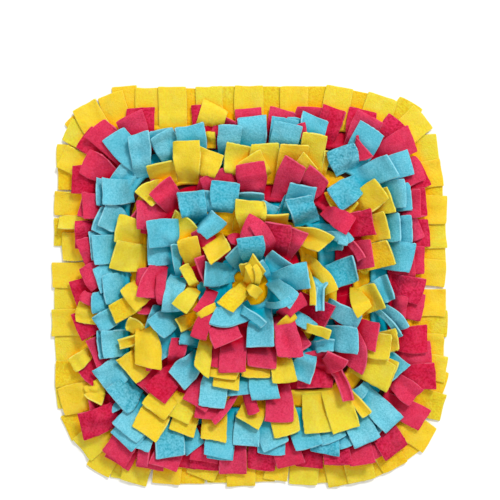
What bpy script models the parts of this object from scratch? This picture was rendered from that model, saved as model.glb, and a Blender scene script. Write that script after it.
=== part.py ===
"""A square snuffle mat with round corners, lying flat on a floor.

Ten fleece strips are sewn onto a base cloth in rounded squares, one inside the other. Each
strip is cut into flaps on both its long sides, and both halves fall outwards, so that every
row has a lower and an upper layer of flaps. The mat's underside is at z = 0, its centre is
the origin, and +Y is the upper side of a view from above. Sizes are in millimetres until a
mesh is made.
"""

import math
import random
from typing import NamedTuple

import bmesh
import bpy
import numpy as np

MM = 0.001  # metres in a millimetre

FLEECE = 2.0  # thickness of a flap
CLEAR = 0.5  # air kept between one flap and the next
BASE_THICK = 2.5
BASE_HALF = 164.0
BASE_CORNER = 62.0
BASE_STEPS = 10
EDGE_CLEAR = 2.0  # how far a flap that falls over the base's edge stays off it

BAND_WIDTH = 4.6  # the uncut middle of a strip, folded up and sewn down
BAND_FOOT = 2.8
BAND_TOP = 8.0
BAND_STEPS = 4  # straight runs in a quarter turn of a band
CHORD_SAG = 1.0 - math.cos(math.pi / 4 / BAND_STEPS)  # how far a run cuts in, by radius
ROOT_LOW = 4.1  # mid height of a lower flap where it leaves the band
ROOT_HIGH = 6.8
FLAP_WIDTH = 29.5
ROOT_SHARE = 0.86  # widest root, as a share of the pitch between flaps of one layer
CUT_LENGTH = 47.0  # a flap from its root to its cut end, along the cloth

ROOT_DRIFT = 0.12  # most that a root slides along its line, as a share of a pitch
SHORTER, LONGER = -2.5, 1.5  # spread of the reach
WIDTH_SPREAD = 1.5
YAW_SPREAD = 1.2
BEND_SPREAD = 0.4
LEAST_FOLD, MOST_FOLD = 22.0, 48.0  # slope of a fold's two halves, in degrees
LOWER_EASE = 0.5  # how much less the covered lower flaps turn
CORNER_REACH = 4.0  # how much further the flaps reach at the mat's corners
BOLD_YAW = math.radians(50.0)  # a turn that takes most of a flap's length
TURN_SHARE = 0.35  # share of its length over which a flap turns, or twice that if bold
BOLD_NECK = 0.35  # how much narrower the root of a boldly turned flap is
STEP_OVER = 14.0  # from a root line to the near side of the next band out
FALL = 12.0  # length over which a flap drops from its root to the floor
LEAST_LEVER = 0.25  # closer to its root than this a flap isn't lifted
CELL = 0.5  # grid of the height map
MAP_HALF = 222.0
STEEPEST = math.radians(68.0)


class Row(NamedTuple):
    """A sewn strip: its root line, and how its flaps fall."""

    name: str
    colour: str
    half: float  # half size of the root line
    corner: float  # its corner radius
    flaps: int
    left: float  # reach of the flaps from the root line, on each side of the mat
    right: float
    top: float
    bottom: float
    yaw: float  # most turn to either side, in degrees
    loft: float  # most rise of a flap's middle above what it lies on
    fold: float  # share of the upper flaps that are folded lengthwise
    level: float  # length that stays level beyond the root line
    root: float  # widest that a flap may be at its root


ROWS = (
    Row("fringe_1_yellow", "yellow", 157, 58, 60, 41, 40, 43, 43, 7, 0.5, 0.0, 9.5, 30),
    Row("fringe_2_pink", "pink", 139.5, 54, 52, 35, 38, 40, 42, 16, 2.5, 0.1, 3.5, 30),
    Row("fringe_3_blue", "blue", 122, 49, 46, 34, 39, 43, 44, 18, 3.5, 0.2, 3.5, 30),
    Row("fringe_4_yellow", "yellow", 104.5, 44, 38, 33, 37, 38, 42, 20, 4, 0.25, 3.5, 30),
    Row("fringe_5_pink", "pink", 87, 39, 32, 30, 36, 34, 43, 24, 4.5, 0.35, 3.5, 30),
    Row("fringe_6_blue", "blue", 70, 34, 26, 33, 36, 32, 41, 30, 5.5, 0.5, 3.5, 30),
    Row("fringe_7_yellow", "yellow", 53, 28, 18, 34, 36, 34, 38, 34, 6.5, 0.6, 3.5, 29),
    Row("fringe_8_pink", "pink", 36, 22, 14, 35, 35, 34, 36, 36, 6.5, 0.6, 3.5, 25),
    Row("fringe_9_blue", "blue", 20, 15, 8, 34, 34, 33, 34, 32, 6.5, 0.6, 3.5, 19),
    Row("fringe_10_yellow", "yellow", 5, 4.9, 4, 30, 28, 30, 30, 16, 5, 1, 3.5, 13),
)


class Turned(NamedTuple):
    """A flap that lies in a way of its own, in degrees and millimetres."""

    row: int  # counted from the rim, from 1
    flap: int  # counted anticlockwise from +X, from 0
    yaw: float  # turn from straight out, anticlockwise
    reach: float
    fold: float  # slope of its two halves: sides up if positive, sides down if negative
    roll: float  # slope across the whole flap


TURNED = (
    Turned(3, 17, 8, 42, 0, 4),
    Turned(4, 5, -24, 28, 0, 8),
    Turned(4, 15, -20, 25, -40, 0),
    Turned(4, 17, 12, 38, 0, 0),
    Turned(5, 3, -6, 40, 0, 0),
    Turned(5, 13, -4, 38, 0, 6),
    Turned(5, 19, 16, 34, 35, 0),
    Turned(5, 23, -16, 40, 30, 0),
    Turned(5, 27, 12, 36, -25, 0),
    Turned(5, 29, -12, 42, 0, -8),
    Turned(6, 1, 24, 30, -30, 0),
    Turned(6, 3, -26, 28, 0, 16),
    Turned(6, 5, -20, 37, 0, 0),
    Turned(6, 7, 18, 38, 0, 0),
    Turned(6, 9, -5, 37, 0, 6),
    Turned(6, 11, -10, 42, 0, 0),
    Turned(6, 13, 46, 34, -50, 0),
    Turned(6, 15, 14, 36, 0, -8),
    Turned(6, 17, -12, 40, 0, 8),
    Turned(6, 19, 12, 32, 0, -14),
    Turned(6, 21, -18, 36, 38, 0),
    Turned(6, 23, -24, 38, 36, 0),
    Turned(6, 25, 10, 34, -30, 0),
    Turned(7, 1, 30, 38, 0, 24),
    Turned(7, 3, 4, 28, 0, -20),
    Turned(7, 5, -9, 38, 0, 0),
    Turned(7, 7, 34, 25, 0, 16),
    Turned(7, 9, -48, 38, -40, 0),
    Turned(7, 11, -26, 28, -46, 0),
    Turned(7, 13, 14, 34, 0, 0),
    Turned(7, 15, -4, 32, 0, -16),
    Turned(7, 17, 44, 34, -46, 0),
    Turned(8, 1, 24, 40, 0, 8),
    Turned(8, 3, 8, 34, -46, 0),
    Turned(8, 5, -14, 32, 42, 0),
    Turned(8, 7, -46, 36, -34, 0),
    Turned(8, 9, 12, 37, 0, -12),
    Turned(8, 11, -20, 42, 0, 8),
    Turned(8, 13, -26, 36, 38, 0),
    Turned(9, 1, -32, 42, 0, 12),
    Turned(9, 3, 16, 38, 26, 0),
    Turned(9, 5, 12, 35, -42, 0),
    Turned(9, 7, -38, 42, 24, 0),
    Turned(10, 0, -16, 26, 0, 18),
    Turned(10, 1, -6, 33, -40, 0),
    Turned(10, 2, -4, 26, 0, 0),
    Turned(10, 3, -54, 34, -24, 0),
)
ABSENT = ((2, 15), (2, 17))  # places where the row outside shows its whole flap

COLOURS = {
    "yellow": (0.91, 0.66, 0.03, 1.0),
    "pink": (0.72, 0.04, 0.13, 1.0),
    "blue": (0.13, 0.55, 0.70, 1.0),
    "natural": (0.62, 0.56, 0.46, 1.0),
}


def smooth(share):
    """0 to 1 with level ends, for shares from 0 to 1."""
    share = np.clip(share, 0.0, 1.0)
    return share * share * (3.0 - 2.0 * share)


def side_distance(x, y, half, corner):
    """Signed distance to a rounded square's outline, negative inside."""
    qx = np.abs(x) - (half - corner)
    qy = np.abs(y) - (half - corner)
    outside = np.hypot(np.maximum(qx, 0.0), np.maximum(qy, 0.0))
    return outside + np.minimum(np.maximum(qx, qy), 0.0) - corner


def root_line(half, corner, share):
    """Point and outward heading at a share of the way round a rounded square.

    The start is the middle of the +X side, and the way is anticlockwise.
    """
    straight = 2.0 * (half - corner)
    side = straight + corner * math.pi / 2
    along = share * 4 * side + straight / 2
    quarter, along = divmod(along, side)
    turn = max(0.0, along - straight) / corner
    x = half - corner + corner * math.cos(turn)
    y = min(along, straight) - straight / 2 + corner * math.sin(turn)
    heading = quarter * math.pi / 2
    c, s = math.cos(heading), math.sin(heading)
    return np.array((x * c - y * s, x * s + y * c)), heading + turn


def outline(half, corner, per_corner):
    """Points of a rounded square, anticlockwise."""
    points = []
    for quarter in range(4):
        for step in range(per_corner + 1):
            turn = (quarter + step / per_corner) * math.pi / 2
            centre = (quarter + 0.5) * math.pi / 2
            reach = (half - corner) * math.sqrt(2)
            points.append((
                reach * math.cos(centre) + corner * math.cos(turn),
                reach * math.sin(centre) + corner * math.sin(turn),
            ))
    return points


class Pile:
    """How high the mat already is, on a square grid seen from above."""

    def __init__(self):
        size = int(2 * MAP_HALF / CELL)
        axis = (np.arange(size) + 0.5) * CELL - MAP_HALF
        x, y = np.meshgrid(axis, axis, indexing="ij")
        self.flaps = np.full((size, size), -CLEAR)
        base = side_distance(x, y, BASE_HALF, BASE_CORNER) < EDGE_CLEAR
        self.flaps[base] = BASE_THICK
        self.bands = np.full((size, size), -CLEAR)
        for row in ROWS:
            from_line = side_distance(x, y, row.half, row.corner)
            inside = -BAND_WIDTH / 2 - CELL - row.corner * CHORD_SAG
            band = (from_line > inside) & (from_line < BAND_WIDTH / 2 + CELL)
            self.bands[band] = BAND_TOP

    def cells(self, points):
        """Grid indices of points seen from above."""
        return tuple(np.floor((points[:, :2].T + MAP_HALF) / CELL).astype(int))

    def height(self, points, past_band):
        """Height under each point, leaving out the flap's own band."""
        cell = self.cells(points)
        bands = np.where(past_band, self.bands[cell], -CLEAR)
        return np.maximum(self.flaps[cell], bands)

    def add(self, points, tops):
        """Raise the pile to a flap's upper face, and a cell further each way."""
        i, j = self.cells(points)
        for di in (-1, 0, 1):
            for dj in (-1, 0, 1):
                np.maximum.at(self.flaps, (i + di, j + dj), tops)


class Weave:
    """The triangles of a flap's grid, and sample points spread over them."""

    def __init__(self, lengths, across, samples):
        self.rows, self.across = lengths + 1, across + 1
        self.faces = []
        for i in range(lengths):
            for j in range(across):
                a, b = i * self.across + j, (i + 1) * self.across + j
                self.faces += [(a, b, b + 1), (a, b + 1, a + 1)]
        self.weights, self.face_of = self.spread(samples)
        self.fine, self.fine_face = self.spread(samples * 3)
        free = self.weights.copy()
        free[:, : self.across] = 0.0
        self.free = free
        self.grip = np.maximum((free**2).sum(axis=1), 1e-9)

    def spread(self, count):
        """Weights of sample points, count to an edge, and the face each lies on."""
        shares = (np.arange(count) + 0.5) / count
        u, v = (axis.ravel() for axis in np.meshgrid(shares, shares))
        u, v = (axis[u + v < 1.0] for axis in (u, v))
        rim = np.concatenate((shares, shares * 0, 1 - shares))
        u = np.concatenate((u, rim))
        v = np.concatenate((v, np.concatenate((shares * 0, shares, shares))))
        weights = np.zeros((len(self.faces), len(u), self.rows * self.across))
        for face, (a, b, c) in enumerate(self.faces):
            weights[face, :, a] = 1.0 - u - v
            weights[face, :, b] = u
            weights[face, :, c] = v
        face_of = np.repeat(np.arange(len(self.faces)), len(u))
        return weights.reshape(len(face_of), -1), face_of

    def uprights(self, points):
        """Share of upright in each face's normal."""
        corners = points[np.array(self.faces)]
        normal = np.cross(corners[:, 1] - corners[:, 0], corners[:, 2] - corners[:, 0])
        upright = np.abs(normal[:, 2]) / np.linalg.norm(normal, axis=1)
        return np.maximum(upright, math.cos(STEEPEST))


LOWER = Weave(4, 1, 12)
UPPER = Weave(3, 1, 12)
UPPER_FOLDED = Weave(3, 2, 9)


class Flap:
    """One flap of a row: its root, its turn and fold, and its mid surface."""

    def __init__(self, row, index):
        number = ROWS.index(row) + 1
        dice = random.Random(1000 * number + index)
        self.row = row
        self.upper = index % 2 == 1
        share = (index + dice.uniform(-ROOT_DRIFT, ROOT_DRIFT)) / row.flaps
        self.root, self.heading = root_line(row.half, row.corner, share)
        self.root_width = min(row.root, ROOT_SHARE * self.perimeter() / row.flaps * 2)
        out_x, out_y = math.cos(self.heading), math.sin(self.heading)
        if (abs(self.root) > row.half - row.corner + self.root_width / 4).all():
            half_chord = min(self.root_width / 2, row.corner)
            sag = row.corner - math.sqrt(row.corner**2 - half_chord**2)
            self.root -= np.array((out_x, out_y)) * sag / 2
        reach = (
            row.left * min(out_x, 0) ** 2
            + row.right * max(out_x, 0) ** 2
            + row.top * max(out_y, 0) ** 2
            + row.bottom * min(out_y, 0) ** 2
            + CORNER_REACH * (2 * out_x * out_y) ** 2
        )
        self.reach = reach + dice.uniform(SHORTER, LONGER)
        most_yaw = math.radians(row.yaw) * (1.0 if self.upper else LOWER_EASE)
        self.yaw = most_yaw * dice.triangular(-YAW_SPREAD, YAW_SPREAD, 0.0)
        self.bend = most_yaw * dice.uniform(-BEND_SPREAD, BEND_SPREAD)
        self.width = FLAP_WIDTH + dice.uniform(-WIDTH_SPREAD, WIDTH_SPREAD)
        self.loft = row.loft * dice.random() * self.upper
        self.lift = row.loft * dice.uniform(0.0, 0.8) * self.upper
        self.folded = self.upper and dice.random() < row.fold
        self.fold = math.radians(dice.uniform(LEAST_FOLD, MOST_FOLD))
        self.fold *= dice.choice((-1, 1, 1))
        self.roll = math.radians(row.loft * 2.0) * dice.uniform(-1, 1) * self.upper
        for turned in TURNED:
            if (turned.row, turned.flap) == (number, index):
                self.reach = turned.reach
                self.yaw = math.radians(turned.yaw)
                self.fold = math.radians(turned.fold)
                self.roll = math.radians(turned.roll)
                self.folded = turned.fold != 0
        if not self.folded:
            self.fold = 0.0
        bold = min(1.0, abs(self.yaw) / BOLD_YAW)
        self.turn_share = TURN_SHARE * (1.0 + bold)
        self.root_width *= 1.0 - BOLD_NECK * bold
        if self.upper:
            self.weave = UPPER_FOLDED if self.folded else UPPER
        else:
            self.weave = LOWER

    def perimeter(self):
        """Length of the row's root line."""
        return 8 * self.row.half - (8 - 2 * math.pi) * self.row.corner

    def stations(self):
        """Distances of the grid's cross lines from the root."""
        beyond = np.linspace(STEP_OVER, self.reach, 3)
        if self.upper:
            return np.array((0.0, *beyond))
        return np.array((0.0, self.row.level, *beyond))

    def mid_surface(self, squeeze):
        """The grid's points before the pile lifts them, with the reach squeezed."""
        far = self.stations() * squeeze
        steps = np.linspace(0.0, 1.0, 33)
        turn = self.yaw * smooth(steps / self.turn_share) + self.bend * steps
        heading = self.heading + turn
        path = np.stack((np.cos(heading), np.sin(heading)), axis=1)
        middles = (path[1:] + path[:-1]) / 2 * far[-1] / 32
        line = np.vstack(((0.0, 0.0), np.cumsum(middles, axis=0))) + self.root
        root_z = ROOT_HIGH if self.upper else ROOT_LOW
        points = []
        for distance in far:
            share = distance / far[-1]
            centre = [np.interp(share, steps, line[:, k]) for k in (0, 1)]
            way = self.heading + np.interp(share, steps, turn)
            half = self.root_width + (self.width - self.root_width) * smooth(share / 0.4)
            grown = smooth((share - 0.1) / 0.8)
            fall = (root_z - FLEECE / 2) * smooth((distance - self.row.level) / FALL)
            for side in np.linspace(-1.0, 1.0, self.weave.across):
                slope = self.roll * grown + self.fold * grown * np.sign(side)
                out = side * half / 2 * math.cos(slope)
                points.append((
                    centre[0] - math.sin(way) * out,
                    centre[1] + math.cos(way) * out,
                    root_z - fall + abs(side) * half / 2 * math.sin(self.fold * grown)
                    + side * half / 2 * math.sin(self.roll * grown),
                ))
        points = np.array(points)
        lowest = points[:, 2].reshape(-1, self.weave.across).min(axis=1)
        under = np.repeat(np.maximum(FLEECE / 2 - lowest, 0.0), self.weave.across)
        points[:, 2] += under
        return points

    def lift_clear(self, points, pile):
        """Raise grid points until the flap lies clear of the pile."""
        weave = self.weave
        spots = weave.weights @ points
        row = self.row
        from_line = side_distance(spots[:, 0], spots[:, 1], row.half, row.corner)
        past_band = from_line > BAND_WIDTH / 2 + 3 * CELL
        held = past_band & (weave.free.max(axis=1) > LEAST_LEVER)
        ground = pile.height(spots, past_band)
        lowest = points[:, 2].copy()
        free_points = range(weave.across, len(points))
        for _ in range(4):
            upright = weave.uprights(points)[weave.face_of]
            needed = ground + CLEAR + FLEECE / 2 / upright
            for _ in range(60):
                short = np.where(held, needed - weave.weights @ points[:, 2], -1.0)
                worst = int(np.argmax(short))
                if short[worst] < 0.01:
                    break
                step = short[worst] / weave.grip[worst]
                points[:, 2] += weave.free[worst] * step
            for k in (*free_points, *free_points):
                spare = (weave.weights @ points[:, 2] - needed)[held]
                share = weave.weights[held, k]
                leans = share > 1e-6
                drop = np.min(spare[leans] / share[leans])
                points[k, 2] -= max(0.0, min(drop, points[k, 2] - lowest[k]))
        return points

    def length(self, points):
        """Length of the flap along its middle."""
        middle = points.reshape(-1, self.weave.across, 3).mean(axis=1)
        return np.linalg.norm(np.diff(middle, axis=0), axis=1).sum()

    def lay(self, pile):
        """Lay the flap on the pile and return its grid points."""
        squeeze = 1.0
        for _ in range(3):
            points = self.lift_clear(self.mid_surface(squeeze), pile)
            shares = np.repeat(self.stations() / self.reach, self.weave.across)
            hump = self.loft * 4 * shares * (1 - shares) + self.lift * shares**2
            points[:, 2] += hump * (shares > 0)
            length = self.length(points)
            if length <= CUT_LENGTH:
                break
            squeeze *= CUT_LENGTH / length
        spots = self.weave.fine @ points
        upright = self.weave.uprights(points)[self.weave.fine_face]
        pile.add(spots, spots[:, 2] + FLEECE / 2 / upright)
        return points


def material(name, colour, roughness):
    """A plain fabric finish."""
    made = bpy.data.materials.new(name)
    made.use_nodes = True
    shader = made.node_tree.nodes["Principled BSDF"]
    shader.inputs["Base Color"].default_value = colour
    shader.inputs["Roughness"].default_value = roughness
    shader.inputs["Metallic"].default_value = 0.0
    return made


def flat_solid(name, outlines, bottom, top, collection):
    """A flat solid between closed outlines, from a filled and extruded curve."""
    curve = bpy.data.curves.new(name + "_outline", "CURVE")
    curve.dimensions = "2D"
    curve.fill_mode = "BOTH"
    curve.extrude = (top - bottom) / 2 * MM
    for points in outlines:
        spline = curve.splines.new("POLY")
        spline.points.add(len(points) - 1)
        for point, (x, y) in zip(spline.points, points, strict=True):
            point.co = (x * MM, y * MM, 0.0, 1.0)
        spline.use_cyclic_u = True
    guide = bpy.data.objects.new(name + "_outline", curve)
    guide.location.z = (top + bottom) / 2 * MM
    collection.objects.link(guide)
    bpy.context.view_layer.update()
    graph = bpy.context.evaluated_depsgraph_get()
    mesh = bpy.data.meshes.new_from_object(guide.evaluated_get(graph))
    mesh.transform(guide.matrix_world)
    bpy.data.objects.remove(guide)
    weld(mesh)
    solid = bpy.data.objects.new(name, mesh)
    collection.objects.link(solid)
    return solid


def weld(mesh):
    """Join the points that lie on each other."""
    shape = bmesh.new()
    shape.from_mesh(mesh)
    bmesh.ops.remove_doubles(shape, verts=shape.verts, dist=1e-6)
    bmesh.ops.recalc_face_normals(shape, faces=shape.faces)
    shape.to_mesh(mesh)
    shape.free()


def fringe(row, pile, finish, parts, guides):
    """A row's band and flaps, as one solid."""
    number = ROWS.index(row) + 1
    present = [index for index in range(row.flaps) if (number, index) not in ABSENT]
    flaps = [Flap(row, index) for index in present]
    order = random.Random(row.name)
    lower = [flap for flap in flaps if not flap.upper]
    upper = [flap for flap in flaps if flap.upper]
    order.shuffle(lower)
    order.shuffle(upper)
    points, faces = [], []
    for flap in lower + upper:
        start = len(points)
        points += [tuple(point) for point in flap.lay(pile) * MM]
        faces += [tuple(start + k for k in face) for face in flap.weave.faces]
    mesh = bpy.data.meshes.new(row.name)
    mesh.from_pydata(points, [], faces)
    cloth = bpy.data.objects.new(row.name, mesh)
    parts.objects.link(cloth)
    mesh.materials.append(finish)
    thick = cloth.modifiers.new("fleece", "SOLIDIFY")
    thick.thickness = FLEECE * MM
    thick.offset = 0.0
    thick.use_even_offset = True
    margins = (BAND_WIDTH / 2, -BAND_WIDTH / 2)
    sides = [outline(row.half + m, row.corner + m, BAND_STEPS) for m in margins]
    if row.corner < 2 * BAND_WIDTH:
        sides = sides[:1]
    band = flat_solid(row.name + "_band", sides, BAND_FOOT, BAND_TOP, guides)
    band.hide_render = True
    band.display_type = "WIRE"
    join = cloth.modifiers.new("band", "BOOLEAN")
    join.operation = "UNION"
    join.solver = "EXACT"
    join.object = band
    return cloth


def main():
    for old in list(bpy.data.objects):
        bpy.data.objects.remove(old)
    parts = bpy.data.collections.new("snuffle_mat")
    guides = bpy.data.collections.new("bands")
    for collection in (parts, guides):
        bpy.context.scene.collection.children.link(collection)
    finishes = {name: material(name, rgba, 0.95) for name, rgba in COLOURS.items()}
    edge = outline(BASE_HALF, BASE_CORNER, BASE_STEPS)
    base = flat_solid("base_cloth", [edge], 0.0, BASE_THICK, parts)
    base.data.materials.append(finishes["natural"])
    pile = Pile()
    for row in ROWS:
        fringe(row, pile, finishes[row.colour], parts, guides)


main()
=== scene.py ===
"""Looks of a square fleece snuffle mat with round corners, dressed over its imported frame.

Ten fleece strips are sewn onto a base cloth in rounded squares. Each strip is cut into flaps,
and every flap is laid in turn on what already lies there, so that the pile of flaps rises and
falls as cloth does. Lengths are in millimetres until a mesh is made. The mat lies on z = 0
with its centre at the origin, and +Y is the upper side of a view from above.
"""

from __future__ import annotations

import logging
import math
import random
from dataclasses import dataclass, field
from enum import Enum
from typing import NamedTuple

import bmesh
import bpy
import numpy as np
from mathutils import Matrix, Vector


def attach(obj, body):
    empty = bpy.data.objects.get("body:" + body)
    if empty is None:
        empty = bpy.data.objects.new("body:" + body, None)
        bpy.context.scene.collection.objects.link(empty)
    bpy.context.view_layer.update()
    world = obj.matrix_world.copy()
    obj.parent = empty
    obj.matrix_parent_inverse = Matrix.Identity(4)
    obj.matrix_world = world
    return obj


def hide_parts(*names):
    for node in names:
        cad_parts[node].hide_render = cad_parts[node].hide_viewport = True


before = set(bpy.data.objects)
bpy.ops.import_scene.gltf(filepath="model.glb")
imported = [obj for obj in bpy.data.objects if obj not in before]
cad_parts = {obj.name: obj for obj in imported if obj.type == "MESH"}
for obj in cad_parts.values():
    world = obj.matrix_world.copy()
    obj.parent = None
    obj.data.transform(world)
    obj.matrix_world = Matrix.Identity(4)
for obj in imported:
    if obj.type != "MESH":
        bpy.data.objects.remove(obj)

log = logging.getLogger("snuffle_mat")

MM = 0.001  # metres in a millimetre
BASE_HALF = 164.0  # half size of the base cloth
BASE_CORNER = 62.0  # radius of its corners
BASE_TOP = 2.5  # height of its upper face
EYE_HEIGHT = 1180.0  # of the camera, which looks straight down
EYE_AHEAD = 37.0  # towards +Y
Colour = tuple[float, float, float]
Socket = bpy.types.NodeSocket
Outputs = bpy.types.bpy_prop_collection


def smooth(share: np.ndarray | float) -> np.ndarray:
    """Eases from 0 to 1 with level ends.

    Args:
        share: Where to read the curve, from 0 to 1.

    Returns:
        The eased value or values.
    """
    share = np.clip(share, 0.0, 1.0)
    return share * share * (3.0 - 2.0 * share)


def side_distance(x: np.ndarray, y: np.ndarray, half: float, corner: float) -> np.ndarray:
    """Measures from a rounded square's outline.

    Args:
        x: Positions along X.
        y: Positions along Y.
        half: Half size of the square.
        corner: Radius of its corners.

    Returns:
        Distances, negative inside.
    """
    qx = np.abs(x) - (half - corner)
    qy = np.abs(y) - (half - corner)
    outside = np.hypot(np.maximum(qx, 0.0), np.maximum(qy, 0.0))
    return outside + np.minimum(np.maximum(qx, qy), 0.0) - corner


def rounded_square(half: float, corner: float, share: float) -> tuple[np.ndarray, float]:
    """Finds a place on a rounded square.

    Args:
        half: Half size of the square.
        corner: Radius of its corners.
        share: Way round, anticlockwise from the middle of the +X side, from 0 to 1.

    Returns:
        The point and its outward heading.
    """
    straight = 2.0 * (half - corner)
    side = straight + corner * math.pi / 2
    quarter, along = divmod(share * 4 * side + straight / 2, side)
    turn = max(0.0, along - straight) / corner
    x = half - corner + corner * math.cos(turn)
    y = min(along, straight) - straight / 2 + corner * math.sin(turn)
    heading = quarter * math.pi / 2
    c, s = math.cos(heading), math.sin(heading)
    return np.array((x * c - y * s, x * s + y * c)), heading + turn


# ---------------------------------------------------------------------------------------------
# Finishes
# ---------------------------------------------------------------------------------------------


@dataclass
class Wiring:
    """A node tree, with helpers that wire it."""

    tree: bpy.types.NodeTree

    def feed(self, socket: Socket, value: object) -> None:
        """Links a socket, or sets its value.

        Args:
            socket: An input.
            value: A socket to link it to, or a number, vector, colour or material.
        """
        if isinstance(value, bpy.types.NodeSocket):
            self.tree.links.new(value, socket)
        elif socket.type == "RGBA":
            socket.default_value = (*value, 1.0)
        else:
            socket.default_value = value

    def add(self, kind: str, inputs: dict[str | int, object], **settings: object) -> Outputs:
        """Adds a node.

        Args:
            kind: The node's type name.
            inputs: Sockets or values for its inputs, by name or number.
            settings: Values of its own properties.

        Returns:
            The node's outputs.
        """
        node = self.tree.nodes.new(kind)
        for name, value in settings.items():
            setattr(node, name, value)
        for key, value in inputs.items():
            self.feed(node.inputs[key], value)
        return node.outputs

    def math(self, operation: str, *values: Socket | float) -> Socket:
        """Adds a Math node.

        Args:
            operation: Its operation.
            values: Sockets or numbers for its inputs, in order.

        Returns:
            Its result.
        """
        return self.add("ShaderNodeMath", dict(enumerate(values)), operation=operation)["Value"]


class Nodes(Wiring):
    """The nodes of one material."""

    def __init__(self, name: str) -> None:
        """Makes a material with a shader, an output and the Object coordinates.

        Args:
            name: The material's name.
        """
        self.material = bpy.data.materials.new(name)
        self.material.use_nodes = True
        super().__init__(self.material.node_tree)
        self.tree.nodes.clear()
        self.shader = self.tree.nodes.new("ShaderNodeBsdfPrincipled")
        self.add("ShaderNodeOutputMaterial", {"Surface": self.shader.outputs["BSDF"]})
        self.place = self.add("ShaderNodeTexCoord", {})["Object"]

    def attribute(self, name: str) -> Socket:
        """Reads a number stored on the mesh.

        Args:
            name: The attribute's name.

        Returns:
            Its value.
        """
        return self.add("ShaderNodeAttribute", {}, attribute_name=name)["Fac"]

    def noise(self, scale: float, detail: float) -> Socket:
        """Adds a noise texture.

        Args:
            scale: Cells in a metre.
            detail: Octaves.

        Returns:
            Its value, about 0.5 on average.
        """
        inputs = {"Scale": scale, "Detail": detail, "Vector": self.place}
        return self.add("ShaderNodeTexNoise", inputs)["Fac"]

    def bands(self, direction: str, pitch: float, distortion: float = 0.0) -> Socket:
        """Adds even bands.

        Args:
            direction: The way across them.
            pitch: From one to the next.
            distortion: How uneven they are.

        Returns:
            Their height, from 0 to 1.
        """
        scale = math.tau / (20.0 * pitch * MM)
        inputs = {"Scale": scale, "Distortion": distortion, "Vector": self.place}
        return self.add("ShaderNodeTexWave", inputs, bands_direction=direction)["Fac"]

    def mix(self, share: Socket, first: Socket | Colour, second: Socket | Colour) -> Socket:
        """Mixes two colours.

        Args:
            share: How much of the second.
            first: Colour at 0.
            second: Colour at 1.

        Returns:
            The mixed colour.
        """
        inputs = {0: share, 6: first, 7: second}  # the ones for colours
        return self.add("ShaderNodeMix", inputs, data_type="RGBA")[2]

    def ramp(self, value: Socket, low: float, high: float) -> Socket:
        """Stretches values over 0 to 1, clamped.

        Args:
            value: What is stretched.
            low: The value that becomes 0. It may be the higher one.
            high: The value that becomes 1.

        Returns:
            The stretched value.
        """
        inputs = {"Value": value, "From Min": low, "From Max": high}
        return self.add("ShaderNodeMapRange", inputs, clamp=True)["Result"]

    def shade(self, colour: Socket, rough: Socket | float, **constants: float | Colour) -> None:
        """Feeds the shader.

        Args:
            colour: Its base colour.
            rough: Its roughness.
            constants: Other inputs, with _ for each space in the name.
        """
        self.feed(self.shader.inputs["Base Color"], colour)
        self.feed(self.shader.inputs["Roughness"], rough)
        for name, value in constants.items():
            self.feed(self.shader.inputs[name.replace("_", " ")], value)

    def relief(self, height: Socket, strength: float, distance: float) -> None:
        """Raises the surface.

        Args:
            height: How high, from 0 to 1.
            strength: How strongly it shows.
            distance: Height of 1.
        """
        inputs = {"Strength": strength, "Distance": distance * MM, "Height": height}
        self.feed(self.shader.inputs["Normal"], self.add("ShaderNodeBump", inputs)["Normal"])


@dataclass(frozen=True)
class Fleece:
    """Polar fleece: a smooth face, a pebbled face, and a cut edge with a painted highlight."""

    slot: str
    brushed: Colour
    pebbled: Colour
    # The darker, richer colour of the painted shade in hollows, which also gives the random tone
    # and the pebbles' pits.
    deep: Colour
    # The lighter colour of the painted highlight on the cut rims, which also tints the worn
    # patches and the sheen.
    cut: Colour
    sheer: float  # how much light passes through
    grain: float  # how dark the hollows between the pebbles are
    pebbles: float = 420.0  # noise cells in a metre
    hairs: float = 760.0
    patches: float = 90.0  # where the surface is worn

    def material(self) -> bpy.types.Material:
        """Makes the finish.

        Returns:
            A material that reads the attributes nap, tone, depth and cut.
        """
        nodes = Nodes(f"fleece_{self.slot}")
        nap, tone = nodes.attribute("nap"), nodes.attribute("tone")
        pebbles = nodes.noise(self.pebbles, 2.0)
        fuzz = nodes.noise(self.hairs, 2.0)
        patches = nodes.noise(self.patches, 3.0)
        # The hollows between the pebbles are darkest on the pebbled face.
        grain = nodes.math("MULTIPLY_ADD", nap, 0.42 * self.grain, 0.24 * self.grain)
        hollow = nodes.math("MULTIPLY", nodes.ramp(pebbles, 0.58, 0.36), grain)
        speck = nodes.math("MULTIPLY", nodes.ramp(fuzz, 0.6, 0.35), 0.34 * self.grain)
        worn = nodes.math("MULTIPLY", nodes.ramp(patches, 0.45, 0.75), 0.22)
        pit = tuple(0.6 * part for part in self.deep)
        colour = nodes.mix(nap, self.brushed, self.pebbled)
        for share, other in (
            (hollow, pit),
            (speck, pit),
            (worn, self.cut),
            (nodes.math("MULTIPLY", tone, 0.35), self.deep),
            # Painted shade: the cloth turns darker and richer the deeper it lies in the pile.
            (nodes.attribute("depth"), self.deep),
            # Painted highlight: the cut rims are made lighter.
            (nodes.math("MULTIPLY", nodes.attribute("cut"), 0.6), self.cut),
        ):
            colour = nodes.mix(share, colour, other)
        nodes.shade(
            colour,
            nodes.math("MULTIPLY_ADD", pebbles, 0.1, 0.88),
            Specular_IOR_Level=0.08,
            Sheen_Weight=0.04,
            Sheen_Roughness=0.5,
            Sheen_Tint=self.cut,
            Subsurface_Weight=self.sheer,
            Subsurface_Radius=(1.0, 0.5, 0.1),
            Subsurface_Scale=4.0 * MM,
        )
        # The pebbles stand out most on the pebbled face, and the fibres do alike on both.
        rough_side = nodes.math("MULTIPLY_ADD", nap, 1.4, 0.9)
        nodes.relief(nodes.math("MULTIPLY_ADD", pebbles, rough_side, fuzz), 0.75, 0.55)
        return nodes.material


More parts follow.
